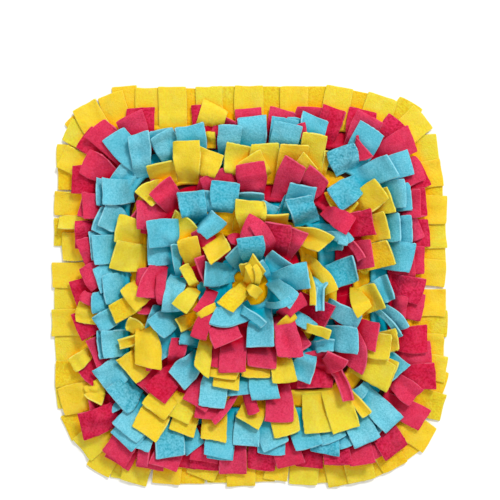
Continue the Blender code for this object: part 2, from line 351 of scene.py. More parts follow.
@dataclass(frozen=True)
class Canvas:
    """Plain woven cloth, the mat's underside."""

    slot: str
    warp: Colour
    weft: Colour
    shade_under_flaps: Colour  # painted shade where the flaps cover it
    pitch: float  # between threads

    def material(self) -> bpy.types.Material:
        """Makes the finish, a plain weave over two crossing bands of thread.

        Returns:
            A material that reads the attribute depth.
        """
        nodes = Nodes(f"canvas_{self.slot}")
        across, along = (nodes.bands(direction, self.pitch, 0.4) for direction in ("X", "Y"))
        slubs = nodes.ramp(nodes.noise(260.0, 4.0), 0.35, 0.7)
        dark = tuple(0.62 * part for part in self.warp)
        colour = nodes.mix(nodes.math("GREATER_THAN", across, along), self.warp, self.weft)
        colour = nodes.mix(nodes.math("MULTIPLY", slubs, 0.3), colour, dark)
        # Painted shade, darkest where the flaps lie deepest over the cloth.
        colour = nodes.mix(nodes.attribute("depth"), colour, self.shade_under_flaps)
        rough = nodes.math("MULTIPLY_ADD", slubs, 0.08, 0.88)
        nodes.shade(colour, rough, Specular_IOR_Level=0.2)
        nodes.relief(nodes.math("MAXIMUM", across, along), 0.7, 0.3)
        return nodes.material


@dataclass(frozen=True)
class Yarn:
    """Twisted sewing thread."""

    name: str
    light: Colour
    dark: Colour
    twist: float  # length of a turn

    def material(self) -> bpy.types.Material:
        """Makes the finish, with the strands as slanting bands.

        Returns:
            The material.
        """
        nodes = Nodes(f"yarn_{self.name}")
        strand = nodes.bands("DIAGONAL", self.twist)
        rough = nodes.math("MULTIPLY_ADD", nodes.noise(900.0, 2.0), 0.2, 0.55)
        nodes.shade(nodes.mix(strand, self.dark, self.light), rough)
        nodes.relief(strand, 1.0, 0.1)
        return nodes.material


@dataclass(frozen=True)
class Paper:
    """The pale floor."""

    tint: Colour

    def material(self) -> bpy.types.Material:
        """Makes the finish, almost even, with a faint grain.

        Returns:
            The material.
        """
        nodes = Nodes("pale_floor")
        grain = nodes.math("MULTIPLY", nodes.noise(40.0, 2.0), 0.04)
        shade = tuple(0.9 * part for part in self.tint)
        nodes.shade(nodes.mix(grain, self.tint, shade), 0.9)
        return nodes.material


YELLOW = Fleece(
    slot="yellow",
    brushed=(0.72, 0.64, 0.048),
    pebbled=(0.72, 0.61, 0.03),
    deep=(0.98, 0.44, 0.0),
    cut=(0.78, 0.74, 0.18),
    sheer=0.35,
    grain=0.55,
)
PINK = Fleece(
    slot="pink",
    brushed=(0.72, 0.052, 0.132),
    pebbled=(0.66, 0.026, 0.092),
    deep=(0.55, 0.0, 0.02),
    cut=(0.76, 0.13, 0.22),
    sheer=0.1,
    grain=1.0,
)
BLUE = Fleece(
    slot="blue",
    brushed=(0.19, 0.58, 0.71),
    pebbled=(0.15, 0.53, 0.67),
    deep=(0.0, 0.38, 0.53),
    cut=(0.34, 0.68, 0.77),
    sheer=0.0,
    grain=1.0,
)
# The third colour is the painted shade under the flaps.
NATURAL = Canvas("natural", (0.60, 0.54, 0.44), (0.66, 0.60, 0.50), (0.10, 0.03, 0.015), 0.9)
THREAD = Yarn("thread", (0.74, 0.68, 0.56), (0.50, 0.43, 0.32), 0.8)


# ---------------------------------------------------------------------------------------------
# The sewn rows
# ---------------------------------------------------------------------------------------------


class Lie(Enum):
    """How a flap lies."""

    OPEN = "open"
    TROUGH = "folded lengthwise, sides up"
    RIDGE = "folded lengthwise, sides down"
    EDGE = "standing on a long side"
    ROLL = "rolled lengthwise, sides up, or down where its slope is negative"


class Row(NamedTuple):
    """A sewn strip: its root line, and how its flaps fall."""

    name: str
    finish: Fleece
    half: float  # half size of the root line
    corner: float  # its corner radius
    flaps: int
    left: float  # reach of the flaps from the root line, on each side of the mat
    right: float
    top: float
    bottom: float
    yaw: float  # most turn to either side, in degrees
    loft: float  # most rise of a flap's middle above what it lies on
    fold: float  # share of the upper flaps that are folded lengthwise
    root: float  # widest that a flap may be at its root

    @property
    def length(self) -> float:
        """Length of the root line."""
        return 8 * self.half - (8 - 2 * math.pi) * self.corner

    def reach(self, heading: float) -> float:
        """Finds how far the flaps reach on one side of the mat.

        Args:
            heading: The way that this side faces.

        Returns:
            Their reach from the root line.
        """
        x, y = math.cos(heading), math.sin(heading)
        return (
            self.left * min(x, 0) ** 2
            + self.right * max(x, 0) ** 2
            + self.top * max(y, 0) ** 2
            + self.bottom * min(y, 0) ** 2
            + CUT.corner_reach * (2 * x * y) ** 2
        )


ROWS = (
    Row("fringe_1_yellow", YELLOW, 157, 58, 71, 41, 40, 43, 43, 8, 0.5, 0.0, 30),
    Row("fringe_2_pink", PINK, 139.5, 54, 63, 35, 38, 40, 42, 22, 2.5, 0.15, 30),
    Row("fringe_3_blue", BLUE, 122, 49, 59, 34, 39, 43, 44, 24, 3.5, 0.2, 30),
    Row("fringe_4_yellow", YELLOW, 104.5, 44, 41, 33, 37, 38, 42, 28, 4, 0.25, 30),
    Row("fringe_5_pink", PINK, 87, 39, 36, 30, 36, 34, 43, 30, 4.5, 0.35, 30),
    Row("fringe_6_blue", BLUE, 70, 34, 32, 33, 36, 32, 41, 30, 5.5, 0.5, 30),
    Row("fringe_7_yellow", YELLOW, 53, 28, 23, 34, 36, 34, 38, 34, 6.5, 0.6, 29),
    Row("fringe_8_pink", PINK, 36, 22, 18, 35, 35, 34, 36, 36, 6.5, 0.6, 25),
    Row("fringe_9_blue", BLUE, 20, 15, 12, 34, 34, 33, 34, 32, 6.5, 0.6, 19),
    Row("fringe_10_yellow", YELLOW, 5, 4.9, 6, 30, 28, 30, 30, 16, 5, 1, 13),
)


@dataclass
class Pile:
    """How high the mat already is, on a square grid seen from above."""

    cell: float = 1.0
    half: float = 224.0  # half size of the grid
    reach: int = 2  # cells to each side that a point of cloth has to clear
    band_half: float = 2.8  # width of a row's ridge to each side of its line
    band_top: float = 8.0  # height of that ridge
    floor: float = -0.3  # what counts as height where nothing lies
    beyond: float = 2.0  # how far past the base's edge a flap still rests on it
    wide: int = 5  # cells to each side that count as round a place
    passes: int = 3  # times that they are averaged
    shallow: float = 0.8  # depth below which no painted shade shows
    deep: float = 6.5  # depth beyond it at which the painted shade is full
    flaps: np.ndarray = field(init=False)
    bands: np.ndarray = field(init=False)
    around: np.ndarray = field(init=False)

    def __post_init__(self) -> None:
        """Lays out the base cloth and the bands."""
        size = int(2 * self.half / self.cell)
        axis = (np.arange(size) + 0.5) * self.cell - self.half
        x, y = np.meshgrid(axis, axis, indexing="ij")
        self.flaps = np.full((size, size), self.floor)
        on_base = side_distance(x, y, BASE_HALF, BASE_CORNER) < self.beyond
        self.flaps[on_base] = BASE_TOP
        self.bands = np.full((size, size), self.floor)
        for row in ROWS:
            from_line = np.abs(side_distance(x, y, row.half, row.corner))
            self.bands[from_line < self.band_half + self.cell] = self.band_top

    def cells(self, x: np.ndarray, y: np.ndarray) -> tuple[np.ndarray, np.ndarray]:
        """Finds the cells of places, kept clear of the grid's rim.

        Args:
            x: Positions along X.
            y: Positions along Y.

        Returns:
            Their indices along X and Y.
        """
        size = self.flaps.shape[0] - 1 - self.reach
        spots = []
        for values in (x, y):
            index = np.floor((values + self.half) / self.cell).astype(int)
            spots.append(np.clip(index, self.reach, size))
        return spots[0], spots[1]

    def height(self, x: np.ndarray, y: np.ndarray, past_band: np.ndarray) -> np.ndarray:
        """Finds the highest point near each place.

        Args:
            x: Positions along X.
            y: Positions along Y.
            past_band: Where the flap is clear of its own band.

        Returns:
            Heights of the pile.
        """
        i, j = self.cells(x, y)
        found = np.full(x.shape, self.floor)
        steps = range(-self.reach, self.reach + 1)
        for di in steps:
            for dj in steps:
                near = self.flaps[i + di, j + dj]
                band = np.where(past_band, self.bands[i + di, j + dj], self.floor)
                found = np.maximum(found, np.maximum(near, band))
        return found

    def settle(self) -> None:
        """Works out the height of the finished pile round each place."""
        around = pressed(np.maximum(self.flaps, self.bands))
        for _ in range(self.passes):
            for axis in (0, 1):
                total = np.cumsum(around, axis)
                ahead = np.roll(total, -self.wide, axis)
                behind = np.roll(total, self.wide + 1, axis)
                around = (ahead - behind) / (2 * self.wide + 1)
        self.around = around

    def depth(self, points: np.ndarray) -> np.ndarray:
        """Tells how far points lie below what is round them, as the share of painted shade
        there.

        Args:
            points: The points.

        Returns:
            Shares of painted shade, from 0, level with it, to 1, at the bottom of a deep hollow.
        """
        i, j = self.cells(points[:, 0], points[:, 1])
        return np.clip((self.around[i, j] - points[:, 2] - self.shallow) / self.deep, 0.0, 1.0)

    def add(self, x: np.ndarray, y: np.ndarray, top: np.ndarray) -> None:
        """Raises the pile to a flap's upper face.

        Args:
            x: Positions along X.
            y: Positions along Y.
            top: Heights of the face there.
        """
        i, j = self.cells(x, y)
        np.maximum.at(self.flaps, (i, j), top)


@dataclass(frozen=True)
class Cut:
    """Sizes of a flap as it is cut. A share is of its reach, from the root, or as told."""

    width: float = 29.5
    length: float = 46.0
    thick: float = 2.0
    air: float = 0.25  # between one flap and the next
    root_low: float = 4.1  # height of a lower flap's root
    root_high: float = 6.8  # and of an upper flap's
    root_share: float = 0.86  # widest root, as a share of the pitch in one layer
    neck: float = 0.65  # where it reaches its full width
    corner_reach: float = 4.0  # how much further the flaps reach at the mat's corners
    fold_run: float = 5.0  # width over which a lengthwise fold turns
    fold_from: float = 0.04  # where folds and rolls begin
    fold_grows: float = 0.38  # share over which they grow
    round_tip: float = 0.6  # how far the tip's corners are set back
    round_power: int = 16
    rim: tuple[float, ...] = (0.0, 0.35, 1.0)  # grid lines that round the rim off
    rim_half: tuple[float, ...] = (0.72, 0.94, 1.0)  # share of the thickness there
    crease: tuple[float, ...] = (-2.6, -1.3, 0.0, 1.3, 2.6)  # grid lines along a crease
    along: int = 13  # runs of the grid between its rims
    across: int = 9


@dataclass(frozen=True)
class Habit:
    """How freely the flaps fall. A pair is the ends of a draw, and angles are in degrees."""

    shift: float = 0.3  # of the root along its line, as a share of the pitch
    rim_shift: float = 0.12
    reach: tuple[float, float] = (-6.0, 2.0)  # added to the row's reach
    rim_reach: float = 0.5  # share of that draw
    yaw: float = 1.6  # in the row's yaws, as for the bend
    bend: float = 0.5
    low_yaw: float = 0.6  # a lower flap's share of the row's yaw
    turned: float = 0.35  # share of the reach over which a straight flap turns
    sharp: float = 50.0  # yaw at which a flap takes twice as long to turn
    width: tuple[float, float] = (-2.5, 1.5)  # added to the width as cut
    lift: tuple[float, float] = (0.3, 2.0)  # rise of the tip, in the row's lofts
    low_lift: tuple[float, float] = (0.0, 0.6)
    placed_lift: tuple[float, float] = (0.2, 1.2)
    placed_loft: float = 0.5  # share of the drawn loft that a placed flap keeps
    slope: tuple[float, float] = (22.0, 55.0)  # of a fold's halves
    roll: float = 3.2  # for each millimetre of loft
    folded_roll: float = 0.3  # share of it that a folded flap keeps
    early: tuple[float, float] = (-1.2, -0.8)  # rows by which a flap is laid sooner
    early_past: int = 3  # the last row that isn't
    nap: float = 0.25  # share of the flaps with the pebbled face up
    low_nap: float = 0.6
    neck: tuple[float, float] = (0.65, 0.95)  # width of the root, as a share of the flap's
    folded_neck: tuple[float, float] = (0.5, 0.7)
    short: float = 30.0  # reach below which a placed flap keeps its widest neck
    crease: float = 0.14  # most offset of a crease, as a share of the width
    camber: float = 26.0  # most turn of the long sides
    low_camber: float = 0.4  # a lower flap's share of it
    tip_curl: float = 7.0  # most rise of the tip's edge
    skew: float = 9.0  # most slant of the tip's cut
    bow: tuple[float, float] = (-0.9, 1.3)  # of the left side, and mirrored of the right
    bow_late: float = 1.4  # above 1 where the sides bow most beyond the flap's middle
    tip_bow: tuple[float, float] = (-0.9, 1.0)  # how far the tip's edge is rounded
    inner: int = 5  # the last row before those with more camber and curl
    inner_camber: float = 1.6  # how many times as much they have
    inner_curl: float = 1.4
    wave: tuple[float, float] = (0.0, 0.5)  # height
    wave_length: tuple[float, float] = (8.0, 20.0)
    wave_slant: tuple[float, float] = (-1.0, 1.0)
    wave_start: tuple[float, float] = (0.0, 6.0)  # in radians
    waves: int = 3


@dataclass(frozen=True)
class Drop:
    """How a flap is let down onto the pile. Shares are of its reach, from the root."""

    rounds: int = 90
    fall: float = 0.28  # in a round
    softened: int = 2  # times in a round
    held: float = 0.22  # from where it rests on the pile
    rim_held: float = 0.1
    own_band: float = 0.3  # from where it lies on any band, its own row's too
    clear: float = 1.08  # room for its thickness, as a share
    open_stiff: float = 0.3  # how far its width keeps its shape, from 0 to 1
    folded_stiff: float = 0.8
    leave: float = 5.0  # distance over which it leaves the height of its root
    curl_from: float = 0.62  # from where its tip curls up
    nowhere: float = -50.0  # a height far below the mat
    lowest: float = 0.1  # of its lower face
    tries: int = 3  # at a reach that keeps the flap's length


CUT = Cut()
HABIT = Habit()
DROP = Drop()
STEPS = np.linspace(0.0, 1.0, 41)  # shares of the reach at which a flap's path is worked out
FINE = np.linspace(-0.5, 0.5, 121)  # shares of the width at which it is bent
TIP_HEIGHT = 4.0  # of the rim's tips
TIP_STEP = 3.0  # from one row's tips up to the next row's


class Placed(NamedTuple):
    """A flap that lies in a way of its own, told by where its tip rests."""

    row: int  # counted from the rim, from 1
    x: float  # middle of the tip
    y: float
    heading: float  # of the tip, in degrees anticlockwise from +X
    reach: float  # back to the root, which takes the nearest place on the row
    width: float
    level: float  # when it is laid, in rows, of which the upper flaps have the second half
    nap: float = 0.0  # 1 with the pebbled face up
    lie: Lie = Lie.OPEN
    slope: float = 0.0  # of the fold's halves or of the whole flap, in degrees, left side up
    skew: float = 0.0  # slant of the tip's cut, in degrees, with the left corner ahead

    @property
    def upper(self) -> bool:
        """Tells whether it belongs to its row's upper flaps."""
        return self.level - self.row >= 0.5

    def tip(self) -> np.ndarray:
        """Moves the tip in from where it seems to rest, as it is nearer to the eye."""
        below_eye = np.array((0.0, EYE_AHEAD))
        nearer = (TIP_HEIGHT + TIP_STEP * (self.row - 1)) / EYE_HEIGHT
        return below_eye + (np.array((self.x, self.y)) - below_eye) * (1.0 - nearer)


# For each row, its placed flaps in the order that they take their places. The columns are those
# of Placed after its row: x, y, heading, reach, width, level, nap, lie, slope, skew.
SPOTS: dict[int, tuple[tuple, ...]] = {
    1: (
        (-41, 138, 272, 18, 14, 2.97),
        (-126, 201, 95, 38, 25, 1.2),
        (-102, 199, 91, 38, 25, 1.25),
        (-140, 193, 109, 38, 26, 1.6),
        (-166, 182, 119, 38, 26, 1.65),
        (-178, 171, 130, 38, 22, 1.15, 1),
        (-183, 158, 153, 38, 24, 1.6),
        (-194, 131, 180, 38, 24, 1.2),
        (-188, 131, 153, 36, 25, 1.7),
        (-192, 109, 180, 36, 24, 1.3, 1),
        (-196, 84, 177, 40, 24, 1.65),
        (-196, 55, 180, 40, 28, 1.2, 1),
        (-190, 64, 180, 36, 15, 1.8, 0, Lie.EDGE, 40),
        (-188, 41, 180, 34, 28, 1.75),
        (-198, 12, 183, 40, 25, 1.6),
        (-196, -11, 180, 38, 26, 1.3),
        (-198, -36, 180, 40, 27, 1.7),
        (-195, -61, 184, 38, 27, 1.4),
        (-177, -78, 215, 26, 18, 2.95, 0, Lie.TROUGH, 40),
        (-195, -87, 180, 38, 27, 1.65, 1),
        (-194, -109, 187, 38, 26, 1.2),
        (-189, -115, 195, 38, 28, 1.7),
        (-184, -142, 205, 38, 27, 1.3, 1),
        (-168, -163, 220, 38, 29, 1.7),
        (-153, -185, 240, 40, 26, 1.4),
        (-129, -192, 262, 38, 22, 1.2),
        (-117, -196, 253, 40, 27, 1.65),
        (-84, -197, 266, 40, 28, 1.6),
        (-59, -197, 270, 40, 27, 1.3, 1),
        (-50, -190, 250, 36, 29, 1.8),
        (-30, -196, 270, 40, 26, 1.2, 1),
        (-9, -199, 272, 42, 28, 1.65),
        (12, -195, 272, 38, 26, 1.25, 1),
        (25, -193, 262, 38, 24, 1.7),
        (53, -198, 268, 42, 28, 1.65),
        (75, -196, 272, 40, 26, 1.2),
        (92, -198, 281, 42, 27, 1.6),
        (112, -194, 282, 38, 28, 1.7),
        (129, -189, 294, 38, 26, 1.25),
        (146, -181, 297, 38, 27, 1.7, 1),
        (166, -167, 305, 38, 26, 1.3),
        (180, -154, 329, 38, 28, 1.7),
        (193, -121, 346, 38, 27, 1.65, 1),
        (196, -99, 341, 38, 26, 1.3),
        (196, -83, 352, 38, 26, 1.7),
        (194, -60, 0, 38, 26, 1.3),
        (198, -37, 358, 40, 27, 1.25, 1),
        (196, -16, 358, 38, 28, 1.7),
        (196, 13, 357, 38, 27, 1.6),
        (196, 31, 3, 38, 26, 1.3),
        (196, 52, 4, 38, 26, 1.35),
        (197, 77, 357, 40, 28, 1.7),
        (193, 97, 0, 38, 25, 1.2, 1),
        (192, 115, 9, 38, 28, 1.65),
        (188, 140, 7, 38, 27, 1.4),
        (174, 171, 41, 38, 30, 1.75),
        (162, 185, 60, 38, 26, 1.5, 1),
        (133, 191, 71, 38, 30, 1.65),
        (108, 196, 78, 38, 27, 1.2, 1),
        (90, 200, 80, 42, 27, 1.7),
        (68, 201, 90, 42, 26, 1.25, 1),
        (44, 201, 90, 42, 28, 1.6),
        (22, 201, 89, 42, 26, 1.2, 1),
        (-1, 201, 90, 42, 28, 1.65),
        (-27, 201, 90, 42, 26, 1.3, 1),
        (-41, 200, 92, 42, 27, 1.6),
        (-62, 199, 90, 42, 26, 1.2, 1),
        (-78, 200, 90, 44, 28, 2.95),
        (-34, 181, 76, 34, 26, 2.96, 0, Lie.OPEN, 0, 14),
        (-160, -36, 262, 22, 24, 2.9),
        (-155, -111, 243, 20, 20, 3.3),
    ),
    2: (
        (-109, 179, 90, 38, 28, 2.3, 1),
        (-120, 170, 108, 36, 29, 2.7),
        (-154, 158, 137, 42, 27, 2.75),
        (-166, 150, 150, 38, 26, 2.3, 1),
        (-164, 125, 152, 42, 26, 2.8),
        (-177, 107, 180, 38, 27, 2.3, 1),
        (-168, 83, 163, 34, 25, 2.4),
        (-165, 81, 176, 32, 27, 2.7),
        (-173, 52, 178, 36, 27, 2.35, 1),
        (-168, 34, 193, 34, 26, 2.65),
        (-164, 6, 212, 34, 27, 2.8, 0, Lie.RIDGE, 30),
        (-176, -8, 197, 38, 28, 2.4, 1),
        (-166, -7, 152, 28, 12, 2.9, 0, Lie.EDGE, 40),
        (-172, -40, 206, 36, 29, 2.5, 1),
        (-156, -67, 203, 30, 31, 2.75),
        (-163, -92, 221, 34, 23, 2.6, 1),
        (-158, -121, 192, 26, 20, 2.5),
        (-167, -138, 199, 36, 27, 2.75, 1),
        (-135, -170, 238, 36, 28, 2.8),
        (-133, -176, 239, 38, 28, 2.3),
        (-100, -181, 265, 38, 27, 2.3),
        (-106, -176, 262, 34, 14, 2.6, 0, Lie.EDGE, 40),
        (-86, -177, 246, 36, 29, 2.75),
        (-67, -180, 270, 38, 26, 2.3, 1),
        (-46, -182, 257, 38, 29, 2.4, 1),
        (-46, -172, 260, 32, 28, 2.7),
        (-17, -186, 272, 42, 27, 2.8),
        (11, -183, 268, 40, 27, 2.3, 1),
        (41, -177, 283, 36, 28, 2.7),
        (59, -180, 270, 38, 27, 2.3, 1),
        (90, -177, 280, 36, 27, 2.3),
        (87, -174, 279, 34, 27, 2.65, 1),
        (111, -174, 281, 34, 25, 2.5),
        (124, -170, 282, 34, 18, 2.3),
        (146, -165, 299, 38, 27, 2.7, 1),
        (174, -133, 335, 38, 24, 2.7, 0, Lie.OPEN, 0, 10),
        (164, -109, 318, 28, 25, 2.95, 0, Lie.TROUGH, 45),
        (184, -88, 2, 42, 27, 2.8, 1),
        (181, -66, 11, 38, 25, 2.3),
        (176, -51, 6, 38, 27, 2.7, 1),
        (155, -22, 352, 20, 24, 2.92),
        (172, -5, 347, 36, 27, 2.8, 1),
        (173, -21, 350, 36, 27, 2.4),
        (163, 25, 355, 28, 30, 2.75),
        (173, 27, 357, 36, 27, 2.4),
        (179, 54, 358, 40, 27, 2.3, 1),
        (168, 62, 18, 32, 26, 2.7),
        (175, 85, 6, 36, 28, 2.4, 1),
        (168, 83, 7, 32, 28, 2.7),
        (170, 119, 24, 38, 26, 2.7),
        (175, 114, 22, 40, 26, 2.3, 1),
        (161, 148, 30, 40, 28, 2.75),
        (149, 165, 56, 38, 27, 2.3, 1),
        (119, 169, 65, 38, 28, 2.7),
        (113, 177, 79, 40, 28, 2.3, 1),
        (84, 178, 72, 42, 24, 2.8, 1),
        (61, 179, 79, 38, 28, 2.6),
        (33, 177, 79, 38, 27, 2.7),
        (-2, 178, 91, 38, 27, 2.6),
        (-19, 166, 66, 28, 26, 2.7),
        (-47, 182, 93, 40, 24, 2.5, 1),
        (55, 155, 15, 20, 14, 4.05),
        (113, 139, 34, 18, 26, 4.2),
    ),
    3: (
        (-132, 119, 145, 38, 28, 3.05),
        (-136, 152, 131, 38, 25, 3.3),
        (-110, 152, 96, 44, 26, 3.8, 0, Lie.TROUGH, 40, -12),
        (-90, 157, 112, 36, 25, 3.2),
        (-88, 153, 113, 34, 25, 3.6),
        (-152, 95, 173, 34, 27, 3.2),
        (-145, 95, 175, 36, 27, 3.7),
        (-152, 69, 155, 36, 25, 3.25),
        (-145, 73, 156, 36, 26, 3.65),
        (-155, 37, 184, 34, 30, 3.6),
        (-158, 41, 181, 36, 28, 3.2),
        (-144, -3, 196, 30, 28, 3.7),
        (-151, 6, 206, 32, 25, 3.3),
        (-156, -16, 188, 34, 20, 3.1),
        (-151, -38, 214, 32, 19, 3.5),
        (-146, -56, 181, 28, 28, 3.7),
        (-151, -57, 187, 32, 28, 3.2),
        (-148, -94, 212, 34, 28, 3.3),
        (-132, -113, 220, 34, 33, 3.8, 1),
        (-150, -125, 196, 26, 12, 2.72, 0, Lie.EDGE, 46),
        (-124, -143, 224, 36, 31, 3.6),
        (-127, -152, 228, 40, 28, 3.2),
        (-112, -158, 250, 36, 26, 3.15),
        (-78, -167, 276, 42, 28, 3.6, 1),
        (-54, -160, 299, 38, 22, 3.3),
        (-32, -167, 264, 42, 28, 3.6),
        (-30, -170, 266, 42, 26, 3.2, 1),
        (-4, -156, 268, 34, 26, 3.7),
        (21, -166, 268, 40, 27, 3.3),
        (26, -157, 296, 34, 28, 3.6),
        (59, -158, 287, 36, 28, 3.65),
        (74, -164, 270, 42, 28, 3.25, 1),
        (83, -151, 285, 32, 26, 3.4),
        (94, -158, 284, 36, 20, 3.2),
        (116, -153, 298, 36, 28, 3.7),
        (143, -136, 315, 38, 24, 3.7),
        (131, -141, 312, 38, 26, 3.3),
        (100, -109, 195, 26, 14, 4.6, 0, Lie.EDGE, 30),
        (147, -88, 322, 34, 32, 3.3),
        (154, -41, 300, 30, 12, 3.9, 0, Lie.EDGE, 46),
        (148, -49, 298, 32, 9, 3.95, 0, Lie.EDGE, 46),
        (140, 1, 22, 24, 25, 4.3),
        (161, 29, 356, 38, 29, 3.7),
        (148, 60, 6, 30, 28, 3.7),
        (160, 58, 7, 38, 27, 3.3),
        (153, 93, 8, 36, 28, 3.7),
        (159, 90, 9, 38, 27, 3.3),
        (159, 124, 15, 40, 26, 3.5),
        (141, 120, 22, 30, 25, 3.75),
        (121, 158, 63, 38, 28, 3.6),
        (89, 139, 108, 26, 28, 4.4, 1),
        (65, 169, 76, 42, 28, 3.6),
        (47, 168, 82, 40, 20, 3.2),
        (38, 161, 74, 36, 28, 4.1),
        (35, 167, 80, 40, 27, 3.3),
        (2, 169, 88, 42, 28, 3.6),
        (-19, 160, 81, 36, 26, 3.9, 0, Lie.RIDGE, 15),
        (-60, 160, 97, 36, 28, 3.6),
        (83, 86, 213, 30, 26, 5.6, 1),
    ),
    4: (
        (-90, 123, 106, 30, 27, 4.6),
        (-105, 87, 230, 24, 30, 5.5, 0, Lie.TROUGH, 36),
        (-132, 59, 164, 32, 28, 4.7),
        (-135, 33, 170, 33, 29, 4.8),
        (-121, -14, 211, 26, 26, 5.2),
        (-136, -27, 205, 34, 19, 4.4, 1),
        (-122, -35, 152, 30, 14, 4.9),
        (-129, -56, 194, 28, 16, 4.95, 0, Lie.TROUGH, 50),
        (-123, -84, 212, 30, 30, 4.9),
        (-104, -144, 242, 38, 28, 4.6),
        (-96, -123, 232, 26, 28, 4.9),
        (-74, -129, 247, 30, 29, 4.7),
        (-68, -144, 252, 40, 26, 4.4),
        (-36, -150, 267, 44, 26, 4.6),
        (-3, -134, 245, 32, 26, 4.7),
        (37, -146, 281, 42, 26, 4.4),
        (68, -143, 279, 42, 28, 4.6),
        (95, -140, 288, 40, 28, 4.8),
        (116, -126, 312, 22, 17, 4.7, 0, Lie.TROUGH, 50),
        (140, -91, 334, 36, 28, 4.8),
        (143, -88, 334, 38, 28, 4.4),
        (139, -59, 357, 32, 25, 4.8),
        (146, -51, 17, 38, 22, 4.4),
        (129, -8, 22, 26, 28, 5.3),
        (140, 35, 15, 34, 26, 4.7, 1),
        (122, 21, 330, 24, 20, 4.3),
        (136, 62, 14, 34, 28, 4.6),
        (140, 87, 13, 38, 26, 4.4),
        (130, 98, 40, 34, 24, 4.7),
        (68, 137, 78, 34, 27, 4.3),
        (64, 151, 84, 44, 25, 4.5),
        (44, 140, 80, 38, 28, 4.6),
        (15, 142, 86, 38, 27, 4.5),
        (-10, 141, 83, 38, 26, 4.4),
        (-2, 129, 118, 28, 28, 4.8),
        (-38, 135, 74, 34, 26, 4.4),
        (-63, 145, 93, 42, 27, 4.8),
        (60, 125, 50, 26, 22, 4.7),
        (100, 73, 312, 26, 24, 5.4),
        (112, -24, 306, 30, 18, 7.0, 0, Lie.ROLL, -40),
        (-101, -79, 266, 42, 27, 5.6),
    ),
    5: (
        (-105, 101, 138, 38, 22, 4.6),
        (-104, -104, 226, 34, 28, 4.7),
        (67, -63, 100, 24, 28, 7.2, 0, Lie.ROLL, 30),
        (97, -112, 285, 34, 22, 5.8, 0, Lie.TROUGH, 55),
        (-100, -83, 292, 30, 8, 5.3, 0, Lie.EDGE, 46),
        (-95, -107, 226, 30, 27, 5.5, 1),
        (0, 123, 95, 36, 28, 5.3),
        (45, 124, 63, 34, 24, 5.6),
        (69, 113, 57, 34, 25, 5.4),
        (122, 65, 9, 34, 26, 5.4, 1),
        (121, 34, 6, 34, 27, 5.5),
        (110, 28, 292, 28, 12, 5.8, 0, Lie.EDGE, 40),
        (126, -50, 345, 36, 28, 5.3),
        (100, -80, 246, 45, 28, 5.6),
        (29, -134, 270, 44, 28, 5.5),
        (4, -125, 288, 34, 20, 5.7, 0, Lie.RIDGE, 45),
        (-55, -116, 235, 30, 26, 5.5),
        (-43, -130, 262, 40, 28, 5.4, 0, Lie.RIDGE, 30),
        (-36, -132, 222, 40, 8, 5.8, 0, Lie.EDGE, 46),
        (65, -101, 265, 29, 36, 5.7, 1),
        (86, -67, 72, 22, 26, 7.25, 0, Lie.ROLL, 40),
        (99, 60, 330, 30, 24, 7.6, 0, Lie.RIDGE, 40),
        (-90, 102, 125, 34, 28, 5.5),
        (-112, 72, 178, 38, 28, 5.4),
        (-70, -51, 80, 26, 24, 6.4, 0, Lie.TROUGH, 60),
        (-86, -16, 275, 34, 14, 6.1, 0, Lie.EDGE, 46),
        (-101, -10, 268, 34, 22, 5.9),
        (102, -35, 315, 34, 26, 6.0),
    ),
    6: (
        (-44, 96, 95, 28, 28, 6.15),
        (-38, -118, 262, 36, 26, 7.0),
        (-12, -107, 276, 34, 26, 6.9),
        (16, -111, 280, 40, 28, 6.95, 0, Lie.RIDGE, 25),
        (91, 42, 252, 26, 12, 6.9, 0, Lie.EDGE, 46),
        (-59, 95, 100, 32, 28, 6.6, 1),
        (-24, 105, 84, 37, 28, 6.7, 1),
        (-101, 52, 187, 35, 28, 6.6),
        (1, 94, 93, 26, 26, 6.2),
        (21, 83, 62, 20, 18, 6.3),
        (53, 101, 75, 32, 27, 6.8),
        (48, 89, 114, 27, 27, 9.0, 1, Lie.OPEN, 0, 14),
        (-32, 55, 316, 27, 27, 9.5),
        (93, 47, 8, 24, 20, 6.4, 1),
        (98, 44, 302, 30, 20, 6.5, 0, Lie.RIDGE, 45),
        (105, 19, 20, 36, 26, 6.7, 1),
        (69, -23, 272, 36, 27, 8.4, 0, Lie.TROUGH, 66),
        (108, -36, 330, 40, 24, 6.6, 0, Lie.EDGE, 40),
        (107, -53, 355, 38, 27, 6.9),
        (83, -57, 355, 30, 20, 7.2, 0, Lie.TROUGH, 40),
        (44, -29, 150, 30, 15, 8.3, 0, Lie.EDGE, 46),
        (48, -93, 250, 34, 27, 7.6, 0, Lie.ROLL, 72),
        (-58, -46, 70, 22, 20, 7.2),
        (-73, -93, 228, 34, 25, 6.8),
        (-94, -42, 218, 32, 26, 6.7),
        (-77, -24, 266, 36, 28, 7.8, 0, Lie.TROUGH, 62),
        (-75, 43, 97, 38, 9, 8.2, 0, Lie.EDGE, 46),
    ),
    7: (
        (-66, 22, 120, 26, 14, 8.35, 0, Lie.EDGE, 50),
        (0, 86, 94, 33, 30, 7.6),
        (26, 72, 86, 22, 28, 7.5),
        (-62, 49, 98, 30, 24, 8.3, 0, Lie.RIDGE, 50),
        (-29, 30, 299, 24, 26, 10.0),
        (76, 42, 326, 40, 28, 8.5, 0, Lie.TROUGH, 52, 16),
        (81, -5, 290, 34, 24, 8.2, 0, Lie.EDGE, 45),
        (62, -17, 266, 40, 9, 8.6, 0, Lie.EDGE, 46),
        (44, -26, 38, 32, 14, 8.6, 0, Lie.EDGE, 46),
        (79, -47, 342, 36, 14, 8.8, 0, Lie.EDGE, 46),
        (-48, -84, 262, 36, 21, 8.5, 0, Lie.RIDGE, 30, 42),
        (-71, -38, 205, 22, 16, 8.1, 0, Lie.TROUGH, 50),
        (-70, -21, 226, 28, 19, 8.3, 0, Lie.ROLL, 78),
        (-34, -18, 28, 24, 9, 9.2, 0, Lie.EDGE, 46),
        (-28, -90, 256, 38, 28, 7.7),
        (-24, -100, 266, 46, 26, 7.2),
        (6, -90, 271, 38, 28, 7.6),
